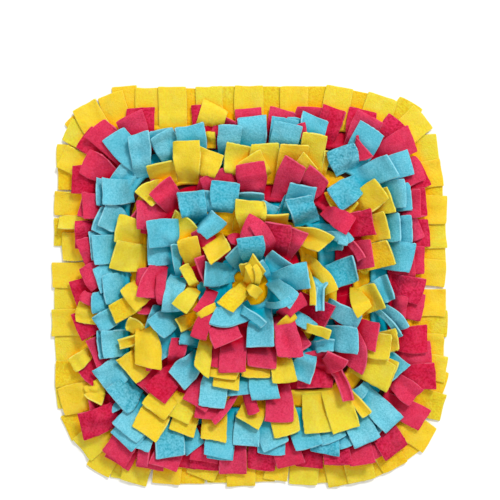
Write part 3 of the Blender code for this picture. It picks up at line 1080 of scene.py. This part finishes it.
        (35, -95, 280, 43, 25, 7.8),
    ),
    8: (
        (50, -64, 300, 34, 26, 7.9),
        (28, 63, 88, 28, 27, 9.1, 1),
        (48, 57, 62, 30, 24, 8.7),
        (-6, 62, 150, 36, 27, 9.2, 0, Lie.ROLL, -60),
        (3, 63, 120, 30, 11, 9.25, 0, Lie.EDGE, 46),
        (-21, 46, 215, 26, 14, 8.9, 0, Lie.EDGE, 46),
        (-50, 30, 100, 34, 16, 8.95, 0, Lie.EDGE, 50),
        (-50, -25, 235, 28, 18, 8.6, 0, Lie.EDGE, 46),
        (-51, -50, 255, 32, 22, 8.9, 0, Lie.EDGE, 40),
        (-21, -54, 295, 24, 30, 9.0),
        (-18, -84, 265, 48, 26, 8.4),
        (-36, -79, 258, 44, 22, 8.2),
        (12, -80, 272, 44, 28, 8.3),
        (40, -69, 275, 36, 34, 8.7, 0, Lie.TROUGH, 60),
        (79, -31, 335, 44, 27, 8.1, 1),
        (54, -11, 30, 30, 18, 8.8, 0, Lie.EDGE, 46),
    ),
    9: (
        (-16, 38, 125, 26, 24, 9.3),
        (0, 50, 95, 31, 27, 9.4, 1, Lie.RIDGE, 18),
        (33, 29, 50, 28, 29, 9.6, 0, Lie.ROLL, 62),
        (58, 12, 13, 38, 26, 9.7),
        (-45, 13, 175, 32, 26, 9.7),
        (10, -59, 268, 40, 27, 9.4),
        (14, -38, 322, 32, 12, 9.9, 0, Lie.EDGE, 48),
        (-37, -27, 162, 40, 27, 9.8, 0, Lie.ROLL, 72),
        (44, -14, 322, 32, 22, 9.75, 0, Lie.TROUGH, 62),
        (40, -11, 48, 24, 10, 9.85, 0, Lie.EDGE, -46),
        (10, 25, 130, 24, 9, 10.2, 0, Lie.EDGE, 46),
    ),
    10: (
        (9, 25, 66, 36, 27, 10.8, 0, Lie.RIDGE, 40, 36),
        (9, -8, 320, 27, 12, 11.2, 0, Lie.EDGE, -38),
        (-3, 22, 128, 30, 7, 11.0, 0, Lie.EDGE, 46),
        (4, 22, 130, 30, 7, 11.1, 0, Lie.EDGE, 46),
        (-25, -20, 224, 36, 31, 10.6, 1, Lie.RIDGE, 58, -14),
        (-2, 24, 100, 22, 18, 10.2),
    ),
}
PLACED = [Placed(row, *spot) for row, spots in SPOTS.items() for spot in spots]


def rooted(row: Row, share: float) -> tuple[np.ndarray, float]:
    """Finds a root on a row's sewing line. More lie round the corners, where flaps fan out.

    Args:
        row: The row.
        share: Way round, anticlockwise from the middle of the +X side, from 0 to 1.

    Returns:
        The root and its outward heading.
    """
    fan = 18.0  # from the line out to where the flaps are evenly spaced
    place, heading = rounded_square(row.half + fan, row.corner + fan, share)
    return place - fan * np.array((math.cos(heading), math.sin(heading))), heading


def seated() -> dict[tuple[int, int], tuple[Placed, float]]:
    """Finds each placed flap's root, and the flap of the row that it takes the place of.

    Returns:
        The placed flaps and their ways round, by row and flap number.
    """
    steps = 400
    other_layer = 0.02  # way round that counts as much as a change of layer
    shares = np.arange(steps) / steps
    found: dict[tuple[int, int], tuple[Placed, float]] = {}
    for placed in PLACED:
        row = ROWS[placed.row - 1]
        turn = math.radians(placed.heading)
        back = placed.tip() - placed.reach * np.array((math.cos(turn), math.sin(turn)))
        away = [float(np.hypot(*(rooted(row, share)[0] - back))) for share in shares]
        share = float(shares[int(np.argmin(away))])
        free = []
        for index in range(row.flaps):
            apart = abs(index / row.flaps - share)
            if (placed.row, index) not in found:
                other = (index % 2 == 1) != placed.upper
                free.append((min(apart, 1.0 - apart) + other_layer * other, index))
        found[placed.row, min(free)[1]] = (placed, share)
    return found


class Flap:
    """One flap: its root, its turn and fold, and the grid of its middle surface."""

    def __init__(self, number: int, index: int, seat: tuple[Placed, float] | None) -> None:
        """Draws how the flap lies.

        Args:
            number: The row, counted from the rim, from 1.
            index: The flap, counted anticlockwise from +X.
            seat: How it is placed and its root's way round, if it is placed.
        """
        row = ROWS[number - 1]
        dice = random.Random(1000 * number + index)
        rim = number == 1
        self.row, self.number = row, number
        shift = HABIT.rim_shift if rim else HABIT.shift
        share = (index + dice.uniform(-shift, shift)) / row.flaps
        self.placed, share = seat or (None, share)
        self.upper = self.placed.upper if self.placed else index % 2 == 1
        self.root, self.heading = rooted(row, share)
        shorter = dice.uniform(*HABIT.reach) * (HABIT.rim_reach if rim else 1.0)
        self.reach = row.reach(self.heading) + shorter
        most_yaw = math.radians(row.yaw) * (1.0 if self.upper else HABIT.low_yaw)
        self.yaw = most_yaw * dice.triangular(-HABIT.yaw, HABIT.yaw, 0.0)
        self.bend = most_yaw * dice.uniform(-HABIT.bend, HABIT.bend)
        bold = min(1.0, abs(self.yaw) / math.radians(HABIT.sharp))
        self.turn_share = HABIT.turned * (1.0 + bold)
        self.width = CUT.width + dice.uniform(*HABIT.width)
        self.loft = row.loft * dice.random() * self.upper
        self.lift = row.loft * dice.uniform(*(HABIT.lift if self.upper else HABIT.low_lift))
        folded = self.upper and dice.random() < row.fold
        slope = math.radians(dice.uniform(*HABIT.slope))
        kind = dice.choice((Lie.RIDGE, Lie.TROUGH, Lie.ROLL, Lie.EDGE))
        self.lie, self.slope = (kind, slope) if folded else (Lie.OPEN, 0.0)
        self.roll = math.radians(row.loft * HABIT.roll) * dice.uniform(-1, 1) * self.upper
        self.level = number + dice.uniform(*HABIT.early) * (number > HABIT.early_past)
        self.nap = float(dice.random() < (HABIT.nap if self.upper else HABIT.low_nap))
        if self.placed:
            self.width = self.placed.width
            self.lie, self.slope = self.placed.lie, math.radians(self.placed.slope)
            self.level, self.nap = self.placed.level, self.placed.nap
            self.loft *= HABIT.placed_loft
            self.lift = row.loft * dice.uniform(*HABIT.placed_lift)
        self.shape(dice)

    def shape(self, dice: random.Random) -> None:
        """Draws the flap's outline, and how it bends.

        Args:
            dice: The flap's own draws.
        """
        rim, inner = self.number == 1, self.number > HABIT.inner
        neck = 1.0
        if not rim and (self.upper or self.placed):
            neck = dice.uniform(*HABIT.neck)
        if self.placed and self.placed.reach < HABIT.short:
            neck = HABIT.neck[1]
        if self.lie is not Lie.OPEN:
            neck = dice.uniform(*HABIT.folded_neck)
            self.roll *= HABIT.folded_roll
        widest = CUT.root_share * self.row.length / self.row.flaps * 2
        self.root_width = min(self.row.root, widest, neck * self.width)
        self.crease = self.width * dice.uniform(-HABIT.crease, HABIT.crease)
        share = HABIT.low_camber + (1.0 - HABIT.low_camber) * self.upper
        self.camber = math.radians(dice.uniform(-HABIT.camber, HABIT.camber)) * share * (not rim)
        self.tip_curl = max(0.0, dice.uniform(-HABIT.tip_curl, HABIT.tip_curl))
        self.tip_curl *= self.upper * (not rim)
        if inner:
            self.camber *= HABIT.inner_camber
            self.tip_curl *= HABIT.inner_curl
        self.skew = math.radians(dice.uniform(-HABIT.skew, HABIT.skew)) * (not rim)
        if self.placed and self.placed.skew:
            self.skew = math.radians(self.placed.skew)
        least, most = HABIT.bow
        self.bows = (dice.uniform(least, most), dice.uniform(-most, -least))
        self.tip_bow = dice.uniform(*HABIT.tip_bow)
        self.tone = dice.random()
        ends = (HABIT.wave, HABIT.wave_length, HABIT.wave_slant, HABIT.wave_start)
        self.waves = [[dice.uniform(*pair) for pair in ends] for _ in range(HABIT.waves)]

    def path(self, squeeze: float) -> tuple[np.ndarray, np.ndarray]:
        """Runs the flap's middle over its place, seen from above.

        Args:
            squeeze: Share of its reach that is left by the way up and down.

        Returns:
            Points at even steps from root to tip, and the headings there.
        """
        if self.placed is None:
            turn = self.heading + self.yaw * smooth(STEPS / self.turn_share) + self.bend * STEPS
            way = np.stack((np.cos(turn), np.sin(turn)), axis=1)
            line = np.cumsum((way[1:] + way[:-1]) / 2, axis=0)
            line = line * self.reach * squeeze / (len(STEPS) - 1)
            return np.vstack(((0.0, 0.0), line)) + self.root, turn
        tip = self.placed.tip()
        last = math.radians(self.placed.heading)
        size = float(np.hypot(*(tip - self.root)))
        knee = tip - size / 2 * np.array((math.cos(last), math.sin(last)))
        share = STEPS[:, None]
        line = (1 - share) ** 2 * self.root + 2 * share * (1 - share) * knee + share**2 * tip
        way = (1 - share) * (knee - self.root) + share * (tip - knee)
        return line, np.unwrap(np.arctan2(way[:, 1], way[:, 0]))

    def lines(self, size: float, count: int, closer: float | None) -> np.ndarray:
        """Places grid lines over one side of the flap.

        Args:
            size: Length of that side.
            count: Number of runs between the rims.
            closer: Where a crease needs lines closer together, if it has one.

        Returns:
            Positions from 0 to size.
        """
        rim = np.array(CUT.rim)
        inner = np.linspace(rim[-1], size - rim[-1], count + 1)[1:-1]
        if closer is not None:
            tight = closer + np.array(CUT.crease)
            least = 1.2  # between two grid lines
            apart = np.abs(inner[:, None] - tight).min(axis=1) > least
            inner = np.sort(np.concatenate((inner[apart], tight)))
        return np.concatenate((rim, inner, size - rim[::-1]))

    def section(
        self, width: float, grown: float, across: np.ndarray
    ) -> tuple[np.ndarray, np.ndarray]:
        """Bends the flap's width.

        Args:
            width: Width of the flap there.
            grown: How far the fold is developed, from 0 to 1.
            across: Shares of the width, from -0.5 to 0.5.

        Returns:
            Offsets sideways and upwards, of which the lowest is 0.
        """
        turn = np.clip((FINE * width - self.crease) / CUT.fold_run, -0.5, 0.5) * 2.0
        angle = self.camber * 2.0 * FINE * grown + self.roll * grown
        if self.lie is Lie.TROUGH:
            angle = angle + self.slope * grown * turn
        elif self.lie is Lie.RIDGE:
            angle = angle - self.slope * grown * turn
        elif self.lie is Lie.EDGE:
            angle = angle + self.slope * grown
        elif self.lie is Lie.ROLL:
            angle = angle + self.slope * 2.0 * FINE * grown
        middle = (angle[1:] + angle[:-1]) / 2
        step = width / (len(FINE) - 1)
        out = np.concatenate(((0.0,), np.cumsum(np.cos(middle)) * step))
        up = np.concatenate(((0.0,), np.cumsum(np.sin(middle)) * step))
        out -= (out.max() + out.min()) / 2
        up -= up.min()
        return np.interp(across, FINE, out), np.interp(across, FINE, up)

    def grid(self, squeeze: float) -> tuple[np.ndarray, np.ndarray, np.ndarray, np.ndarray]:
        """Lays the flap out over its place, without the pile.

        Args:
            squeeze: Share of its reach that is left by the way up and down.

        Returns:
            Grids of x, y and offset upwards, and the distances of the cross lines.
        """
        line, turn = self.path(squeeze)
        reach = float(np.hypot(*np.diff(line, axis=0).T).sum())
        folded = self.lie in (Lie.TROUGH, Lie.RIDGE)
        far = self.lines(reach, CUT.along, None)
        crease = self.width / 2 + self.crease if folded else None
        side = self.lines(self.width, CUT.across, crease)
        across = side / self.width - 0.5
        bows = np.where(across > 0, self.bows[0], self.bows[1]) * np.abs(2 * across)
        corners = CUT.round_tip * np.abs(2 * across) ** CUT.round_power
        rounded = corners + self.tip_bow * (2 * across) ** 2
        x, y, up = (np.empty((len(far), len(across))) for _ in range(3))
        for k, distance in enumerate(far):
            share = distance / reach
            way = float(np.interp(share, STEPS, turn))
            c, s = math.cos(way), math.sin(way)
            opened = float(smooth(share / CUT.neck))
            width = self.root_width + (self.width - self.root_width) * opened
            grown = float(smooth((share - CUT.fold_from) / CUT.fold_grows))
            out, rise = self.section(width, grown, across)
            late = float(smooth((share - 0.5) / 0.5))
            forward = (out * math.sin(self.skew) - rounded * late) * late
            out = out + bows * math.sin(math.pi * share**HABIT.bow_late) * grown
            x[k] = np.interp(share, STEPS, line[:, 0]) - s * out + c * forward
            y[k] = np.interp(share, STEPS, line[:, 1]) + c * out + s * forward
            up[k] = rise
            for height, size, slant, start in self.waves:
                phase = distance / size * math.tau + slant * side / size * math.tau + start
                up[k] += height * (1.0 + np.sin(phase)) * 0.5 * grown
        return x, y, up, far

    def stiffness(self) -> float:
        """Tells how far the width keeps its shape while the flap is draped.

        Returns:
            A share from 0, where each point falls for itself, to 1.
        """
        if self.lie is Lie.OPEN:
            return DROP.open_stiff
        return DROP.folded_stiff if self.lie in (Lie.TROUGH, Lie.RIDGE) else 1.0

    def drape(
        self, x: np.ndarray, y: np.ndarray, up: np.ndarray, far: np.ndarray, pile: Pile
    ) -> np.ndarray:
        """Lets the flap down onto the pile.

        Args:
            x: Grid of positions along X.
            y: Grid of positions along Y.
            up: Grid of offsets upwards.
            far: Distances of the cross lines from the root.
            pile: What lies there already.

        Returns:
            Grid of heights of the middle surface.
        """
        row = self.row
        from_line = side_distance(x, y, row.half, row.corner)
        share = np.broadcast_to(far[:, None] / far[-1], x.shape)
        past_band = (np.abs(from_line) > pile.band_half + 1.0) | (share > DROP.own_band)
        held = past_band & (share > (DROP.held if self.number > 1 else DROP.rim_held))
        root = CUT.root_high if self.upper else CUT.root_low
        ground = pile.height(x, y, past_band)
        rest = ground + CUT.air + CUT.thick / 2 * DROP.clear - up
        need = np.where(held, rest, DROP.nowhere)
        stiff = self.stiffness()
        need = stiff * need.max(axis=1, keepdims=True) + (1 - stiff) * need
        free = self.loft * 4 * share * (1 - share) + self.lift * share**1.5
        curled = smooth((share - DROP.curl_from) / (1.0 - DROP.curl_from))
        free = free + self.tip_curl * curled**2
        level = np.clip(far / DROP.leave, 0.0, 1.0)[:, None]
        height = np.full(x.shape, max(need.max(), root) + 1.0)
        for _ in range(DROP.rounds):
            for _ in range(DROP.softened):
                height = blurred(height)
            height -= DROP.fall
            height = np.maximum(height, need)
            height[0] = root
            height[1:3] = root * (1 - level[1:3]) + height[1:3] * level[1:3]
        return np.maximum(height + up + free, CUT.thick / 2 + DROP.lowest)

    def lay(self, pile: Pile) -> "Laid":
        """Lays the flap on the pile.

        Args:
            pile: What lies there already. The flap is added to it.

        Returns:
            The flap where it lies.
        """
        squeeze = 1.0
        for _ in range(DROP.tries):
            x, y, up, far = self.grid(squeeze)
            z = self.drape(x, y, up, far, pile)
            middle = np.stack((x, y, z), axis=2)[:, x.shape[1] // 2]
            length = np.linalg.norm(np.diff(middle, axis=0), axis=1).sum()
            if self.placed or length <= CUT.length:
                break
            squeeze *= CUT.length / length
        laid = Laid(self, np.stack((x, y, z), axis=2))
        fine = laid.finer(3)  # closer than the pile's cells
        top = fine[..., 2] + CUT.thick / 2
        pile.add(fine[..., 0].ravel(), fine[..., 1].ravel(), top.ravel())
        return laid


def pressed(height: np.ndarray) -> np.ndarray:
    """Presses the top of the pile down, as its weight does, and keeps the layers' order.

    Args:
        height: Heights as laid.

    Returns:
        Heights at rest.
    """
    loose = 18.0  # height up to which nothing is pressed
    most = 36.0  # height that remains of all that is above it
    above = np.maximum(height - loose, 0.0)
    return np.minimum(height, loose) + most * (1.0 - np.exp(-above / most))


def blurred(grid: np.ndarray) -> np.ndarray:
    """Smooths a grid once both ways, with free edges that keep their slope.

    Args:
        grid: Its values.

    Returns:
        The smoothed values.
    """
    for axis in (0, 1):
        first, second = np.take(grid, 0, axis), np.take(grid, 1, axis)
        last, before = np.take(grid, -1, axis), np.take(grid, -2, axis)
        start = np.expand_dims(2 * first - second, axis)
        end = np.expand_dims(2 * last - before, axis)
        wide = np.concatenate((start, grid, end), axis)
        size = grid.shape[axis]
        low, mid, high = (np.take(wide, range(k, k + size), axis) for k in range(3))
        grid = (low + 2 * mid + high) / 4
    return grid


@dataclass
class Laid:
    """A flap where it lies."""

    flap: Flap
    middle: np.ndarray  # grid of points

    def finer(self, times: int) -> np.ndarray:
        """Adds points between the grid's.

        Args:
            times: How many times closer they lie.

        Returns:
            The finer grid.
        """
        grid = self.middle
        for axis in (0, 1):
            size = grid.shape[axis]
            at = np.linspace(0, size - 1, (size - 1) * times + 1)
            low = np.minimum(at.astype(int), size - 2)
            part = (at - low).reshape((-1, 1, 1) if axis == 0 else (1, -1, 1))
            grid = np.take(grid, low, axis) * (1 - part) + np.take(grid, low + 1, axis) * part
        return grid

    def slab(self) -> tuple[np.ndarray, np.ndarray, dict[str, np.ndarray]]:
        """Gives the flap its thickness.

        Returns:
            Points, four-sided faces, and the attributes nap, tone and cut of the points.
        """
        grid = self.middle.copy()
        grid[..., 2] = pressed(grid[..., 2])
        rows, columns = grid.shape[:2]
        along = np.gradient(grid, axis=0)
        across = np.gradient(grid, axis=1)
        normal = np.cross(along, across)
        normal /= np.linalg.norm(normal, axis=2, keepdims=True)
        half = np.ones((rows, columns))
        for k, share in enumerate(CUT.rim_half):
            for edge in (half[k, :], half[-1 - k, :], half[:, k], half[:, -1 - k]):
                np.minimum(edge, share, out=edge)
        offset = normal * half[..., None] * CUT.thick / 2
        points = np.concatenate(((grid + offset).reshape(-1, 3), (grid - offset).reshape(-1, 3)))
        index = np.arange(rows * columns).reshape(rows, columns)
        a, b, c, d = index[:-1, :-1], index[1:, :-1], index[1:, 1:], index[:-1, 1:]
        top = np.stack((a, b, c, d), axis=2).reshape(-1, 4)
        bottom = top[:, ::-1] + rows * columns
        ring = np.concatenate((index[:, 0], index[-1, 1:], index[-2::-1, -1], index[0, -2:0:-1]))
        after = np.roll(ring, -1)
        under = rows * columns
        wall = np.stack((after, ring, ring + under, after + under), axis=1)
        # cut marks the rim's points, which the finish paints lighter as a highlight.
        cut = np.zeros(2 * rows * columns)
        cut[ring] = cut[ring + under] = 1.0
        nap = np.full(2 * rows * columns, self.flap.nap)
        nap[under:] = 1.0 - self.flap.nap
        tone = np.full(2 * rows * columns, self.flap.tone)
        values = {"nap": nap, "tone": tone, "cut": cut}
        return points, np.concatenate((top, bottom, wall)), values


def linked(name: str, data: bpy.types.ID) -> bpy.types.Object:
    """Makes an object and links it to the scene.

    Args:
        name: The object's name.
        data: Its mesh, light or camera.

    Returns:
        The object.
    """
    made = bpy.data.objects.new(name, data)
    bpy.context.scene.collection.objects.link(made)
    return made


def stored(mesh: bpy.types.Mesh, name: str, numbers: np.ndarray) -> None:
    """Stores a number for each point of a mesh.

    Args:
        mesh: The mesh.
        name: The attribute's name, by which the finishes read it.
        numbers: The numbers.
    """
    layer = mesh.attributes.new(name, "FLOAT", "POINT")
    layer.data.foreach_set("value", numbers.astype(np.float32))


def deepened(mesh: bpy.types.Mesh, pile: Pile, lowest: float = 0.0) -> None:
    """Stores how deep each point of a mesh lies, as the share of painted shade that its finish
    mixes in.

    Args:
        mesh: The mesh, with its points where they rest.
        pile: The finished pile.
        lowest: Height below which a point faces the floor and isn't counted as deep.
    """
    points = np.empty(3 * len(mesh.vertices), dtype=np.float32)
    mesh.vertices.foreach_get("co", points)
    points = points.reshape(-1, 3) / MM
    stored(mesh, "depth", np.where(points[:, 2] < lowest, 0.0, pile.depth(points)))


FINISHES: dict[str, bpy.types.Material] = {}  # by slot, filled by main


@dataclass
class FringeRow:
    """One sewn strip with its flaps, as a single piece."""

    row: Row
    flaps: list[Laid] = field(default_factory=list)
    strip_width: float = 92.0
    cut_share: float = 0.8  # of the strip that is left once it is slit into flaps
    section: tuple[tuple[float, float], ...] = (
        (-2.4, 4.4),  # out from the sewing line, and up: the folded middle stands in a ridge,
        (-1.5, 2.8),  # and the strip lies flat beyond it as far as the slits reach
        (2.0, 2.6),
        (12.0, 2.6),
        (14.6, 3.2),
        (14.8, 4.0),
        (12.0, 4.7),
        (4.0, 5.2),
        (2.2, 7.4),
        (0.0, 8.2),
        (-2.0, 7.2),
    )
    rim_reach: float = 5.0  # how far the outermost strip lies flat
    rim_slant: float = 0.1  # how its edge leans out, for each millimetre up
    step: float = 6.0  # along the sewing line
    least_steps: int = 24
    slit_pitch: float = 30.0

    @property
    def strip_length(self) -> float:
        """Length of the strip, which is gathered where its flaps need more than the line."""
        return max(self.row.length, self.row.flaps / 2 * self.slit_pitch)

    def band(self) -> tuple[np.ndarray, np.ndarray]:
        """The uncut middle of the strip, folded along the sewing line.

        Returns:
            Its points and four-sided faces.
        """
        sides = len(self.section)
        steps = max(self.least_steps, int(self.row.length / self.step))
        outermost = self.row is ROWS[0]
        points = []
        for step in range(steps):
            place, heading = rounded_square(self.row.half, self.row.corner, step / steps)
            way = np.array((math.cos(heading), math.sin(heading)))
            for out, up in self.section:
                if outermost:
                    out = min(out, self.rim_reach + self.rim_slant * up)
                points.append((*(place + way * out), up))
        faces = []
        for step in range(steps):
            for side in range(sides):
                after, beside = (step + 1) % steps, (side + 1) % sides
                faces.append((
                    step * sides + side,
                    after * sides + side,
                    after * sides + beside,
                    step * sides + beside,
                ))
        return np.array(points), np.array(faces)

    def build(self, pile: Pile) -> bpy.types.Object:
        """Makes the piece's mesh.

        Args:
            pile: The finished pile, which tells how deep each point lies.

        Returns:
            The piece.
        """
        points, faces = self.band()
        plain = np.zeros(len(points))
        parts = [(points, faces, {"nap": plain, "tone": plain + 0.5, "cut": plain})]
        parts.extend(laid.slab() for laid in self.flaps)
        firsts = np.cumsum([0, *(len(points) for points, _, _ in parts[:-1])])
        points = np.concatenate([points for points, _, _ in parts])
        faces = [part[1] + first for part, first in zip(parts, firsts, strict=True)]
        mesh = bpy.data.meshes.new(self.row.name)
        mesh.from_pydata((points * MM).tolist(), [], np.concatenate(faces).tolist())
        mesh.shade_smooth()
        for name in ("nap", "tone", "cut"):
            stored(mesh, name, np.concatenate([values[name] for _, _, values in parts]))
        deepened(mesh, pile)
        return linked(self.row.name.replace("fringe", "flaps"), mesh)

    def dress(self, piece: bpy.types.Object, under: list[str]) -> None:
        """Args:
            piece: The row's piece.
            under: Names of what it lies on. Not used.
        """
        piece.data.materials.append(FINISHES[self.row.finish.slot])
        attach(piece, "root")
        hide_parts(self.row.name)
        log.info("%s: %d flaps, %d faces", piece.name, len(self.flaps), len(piece.data.polygons))


@dataclass
class BaseCloth:
    """The square of cloth that the strips are sewn to."""

    half: float = BASE_HALF
    corner: float = BASE_CORNER
    top: float = BASE_TOP
    rise: float = 0.7  # room for the stitches underneath
    soft: float = 0.8  # radius of its edges
    steps: int = 96  # points of its outline

    def build(self) -> bpy.types.Object:
        """Makes a thin slab with softened edges.

        Returns:
            The piece.
        """
        shares = np.arange(self.steps) / self.steps
        edge = [rounded_square(self.half, self.corner, share)[0] for share in shares]
        shape = bmesh.new()
        corners = [shape.verts.new((x * MM, y * MM, self.rise * MM)) for x, y in edge]
        face = shape.faces.new(corners)
        grown = bmesh.ops.extrude_face_region(shape, geom=[face])
        top = [item for item in grown["geom"] if isinstance(item, bmesh.types.BMVert)]
        bmesh.ops.translate(shape, verts=top, vec=(0.0, 0.0, (self.top - self.rise) * MM))
        bmesh.ops.recalc_face_normals(shape, faces=shape.faces)
        level = [e for e in shape.edges if abs(e.verts[0].co.z - e.verts[1].co.z) < MM / 1000]
        bmesh.ops.bevel(
            shape, geom=level, offset=self.soft * MM, segments=3, affect="EDGES", profile=0.5
        )
        bmesh.ops.triangulate(shape, faces=[f for f in shape.faces if len(f.verts) > 4])
        mesh = bpy.data.meshes.new("base")
        shape.to_mesh(mesh)
        shape.free()
        return linked("base", mesh)

    def dress(self, piece: bpy.types.Object) -> None:
        """Args:
            piece: The base cloth.
        """
        piece.data.materials.append(FINISHES[NATURAL.slot])
        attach(piece, "root")
        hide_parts("base_cloth")
        log.info("%s: %d faces", piece.name, len(piece.data.polygons))


@dataclass(frozen=True)
class Seam:
    """Sizes of the machine stitches."""

    pitch: float = 4.0
    length: float = 3.1
    thread: float = 0.7
    uneven: float = 0.12  # most change of a stitch's length, as a share
    hem: float = 5.0  # from the cloth's edge
    up: float = 0.42  # middle of the thread, below the cloth and clear of the floor
    seed: int = 7
    sides: int = 6  # of the thread
    line_steps: float = 1.6  # edges of a row's line, for each millimetre of its half size
    least_steps: int = 12
    hem_steps: int = 260


@dataclass
class Stitches:
    """The stitches that hold the strips, and the base cloth's hem, as they show underneath."""

    base: BaseCloth
    seam: Seam = Seam()

    def lines(self) -> bpy.types.Mesh:
        """Draws the sewing lines.

        Returns:
            A mesh with a closed ring of edges for each line.
        """
        seam, base = self.seam, self.base
        rings = [
            (row.half, row.corner, max(seam.least_steps, int(row.half * seam.line_steps)))
            for row in ROWS
        ]
        rings.append((base.half - seam.hem, base.corner - seam.hem, seam.hem_steps))
        points: list[tuple[float, float, float]] = []
        edges: list[tuple[int, int]] = []
        for half, corner, steps in rings:
            first = len(points)
            for step in range(steps):
                x, y = rounded_square(half, corner, step / steps)[0]
                points.append((x * MM, y * MM, seam.up * MM))
                edges.append((first + step, first + (step + 1) % steps))
        mesh = bpy.data.meshes.new("sewing_lines")
        mesh.from_pydata(points, edges, [])
        return mesh

    def tree(self) -> bpy.types.GeometryNodeTree:
        """Builds the node tree that lays stitches end to end along the lines.

        Returns:
            The tree, with inputs Pitch, Length, Thread, Uneven, Seed and Finish.
        """
        tree = bpy.data.node_groups.new("machine_stitch", "GeometryNodeTree")
        for name, kind in (
            ("Geometry", "Geometry"),
            ("Pitch", "Float"),
            ("Length", "Float"),
            ("Thread", "Float"),
            ("Uneven", "Float"),
            ("Seed", "Int"),
            ("Finish", "Material"),
        ):
            tree.interface.new_socket(name, in_out="INPUT", socket_type=f"NodeSocket{kind}")
        geometry = "NodeSocketGeometry"
        tree.interface.new_socket("Geometry", in_out="OUTPUT", socket_type=geometry)
        nodes = Wiring(tree)
        given = nodes.add("NodeGroupInput", {})
        curve = nodes.add("GeometryNodeMeshToCurve", {"Mesh": given["Geometry"]})["Curve"]
        inputs = {"Curve": curve, "Length": given["Pitch"]}
        spots = nodes.add("GeometryNodeCurveToPoints", inputs, mode="LENGTH")
        inputs = {"Vector": spots["Tangent"]}
        along = nodes.add("FunctionNodeAlignRotationToVector", inputs, axis="Z")
        radius = nodes.math("MULTIPLY", given["Thread"], 0.5)
        inputs = {"Vertices": self.seam.sides, "Radius": radius, "Depth": given["Length"]}
        thread = nodes.add("GeometryNodeMeshCylinder", inputs)
        shortest = nodes.math("SUBTRACT", 1.0, given["Uneven"])
        inputs = {2: shortest, 3: 1.0, "Seed": given["Seed"]}  # 2 and 3 are least and most
        length = nodes.add("FunctionNodeRandomValue", inputs, data_type="FLOAT")[1]
        scale = nodes.add("ShaderNodeCombineXYZ", {"X": 1.0, "Y": 1.0, "Z": length})
        inputs = {
            "Points": spots["Points"],
            "Instance": thread["Mesh"],
            "Rotation": along["Rotation"],
            "Scale": scale["Vector"],
        }
        laid = nodes.add("GeometryNodeInstanceOnPoints", inputs)
        real = nodes.add("GeometryNodeRealizeInstances", {"Geometry": laid["Instances"]})
        inputs = {"Geometry": real["Geometry"], "Material": given["Finish"]}
        finished = nodes.add("GeometryNodeSetMaterial", inputs)
        nodes.add("NodeGroupOutput", {"Geometry": finished["Geometry"]})
        return tree

    def build(self) -> bpy.types.Object:
        """Sews along every line.

        Returns:
            The stitches, as one plain mesh.
        """
        piece = linked("stitches", self.lines())
        modifier = piece.modifiers.new("stitch", "NODES")
        modifier.node_group = self.tree()
        sizes = {
            "Pitch": self.seam.pitch * MM,
            "Length": self.seam.length * MM,
            "Thread": self.seam.thread * MM,
            "Uneven": self.seam.uneven,
            "Seed": self.seam.seed,
            "Finish": THREAD.material(),
        }
        for item in modifier.node_group.interface.items_tree:
            if item.in_out == "INPUT" and item.name in sizes:
                modifier[item.identifier] = sizes[item.name]
        graph = bpy.context.evaluated_depsgraph_get()
        mesh = bpy.data.meshes.new_from_object(piece.evaluated_get(graph))
        piece.modifiers.clear()
        # The thread comes with an empty material slot before its own.
        while mesh.materials[0] is None:
            mesh.materials.pop(index=0)
        mesh.polygons.foreach_set("material_index", [0] * len(mesh.polygons))
        lines, piece.data = piece.data, mesh
        bpy.data.meshes.remove(lines)
        return piece

    def dress(self, piece: bpy.types.Object) -> None:
        """Args:
            piece: The stitches.
        """
        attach(piece, "root")
        log.info("%s: %d faces", piece.name, len(piece.data.polygons))


@dataclass
class Studio:
    """Floor, lights and camera."""

    lens: float = 85.0
    key_energy: float = 60.0
    key_place: tuple[float, float, float] = (0.9, 1.75, 2.55)  # in metres, as the sizes here
    key_size: float = 0.6
    floor_size: float = 8.0
    floor_drop: float = 0.0004
    floor_tint: Colour = (0.98, 0.98, 0.98)
    sky: float = 0.80

    def build(self) -> None:
        """Makes the studio."""
        scene = bpy.context.scene
        scene.view_settings.view_transform = "Standard"
        place = (0.0, 0.0, -self.floor_drop)
        bpy.ops.mesh.primitive_plane_add(size=self.floor_size, location=place)
        floor = bpy.context.active_object
        floor.name = "floor"
        floor.data.materials.append(Paper(self.floor_tint).material())
        world = bpy.data.worlds.new("studio")
        world.use_nodes = True
        background = world.node_tree.nodes["Background"]
        background.inputs["Color"].default_value = (1.0, 1.0, 1.0, 1.0)
        background.inputs["Strength"].default_value = self.sky
        scene.world = world
        light = bpy.data.lights.new("key", "AREA")
        light.energy = self.key_energy
        light.size = self.key_size
        key = linked("key", light)
        key.location = self.key_place
        key.rotation_euler = (-Vector(self.key_place)).to_track_quat("-Z", "Y").to_euler()
        lens = bpy.data.cameras.new("camera")
        lens.lens = self.lens
        scene.camera = linked("camera", lens)
        scene.camera.location = (0.0, EYE_AHEAD * MM, EYE_HEIGHT * MM)


def main() -> None:
    """Builds the mat and its studio."""
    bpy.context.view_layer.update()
    for finish in (YELLOW, PINK, BLUE, NATURAL):
        FINISHES[finish.slot] = finish.material()
    Studio().build()
    base = BaseCloth()
    below = base.build()
    base.dress(below)
    stitches = Stitches(base)
    stitches.dress(stitches.build())
    pile = Pile()
    fringes = [FringeRow(row) for row in ROWS]
    chosen = seated()
    flaps = [
        Flap(number, index, chosen.get((number, index)))
        for number, row in enumerate(ROWS, start=1)
        for index in range(row.flaps)
    ]
    flaps.sort(key=lambda flap: flap.level)
    for flap in flaps:
        fringes[flap.number - 1].flaps.append(flap.lay(pile))
    pile.settle()
    # The base cloth gets its painted shade where the flaps cover it.
    deepened(below.data, pile, lowest=(base.rise + base.top) / 2)
    under = [below.name]
    for fringe in fringes:
        piece = fringe.build(pile)
        fringe.dress(piece, under)
        under = [below.name, piece.name]


if __name__ == "__main__":
    logging.basicConfig(level=logging.INFO)
    main()
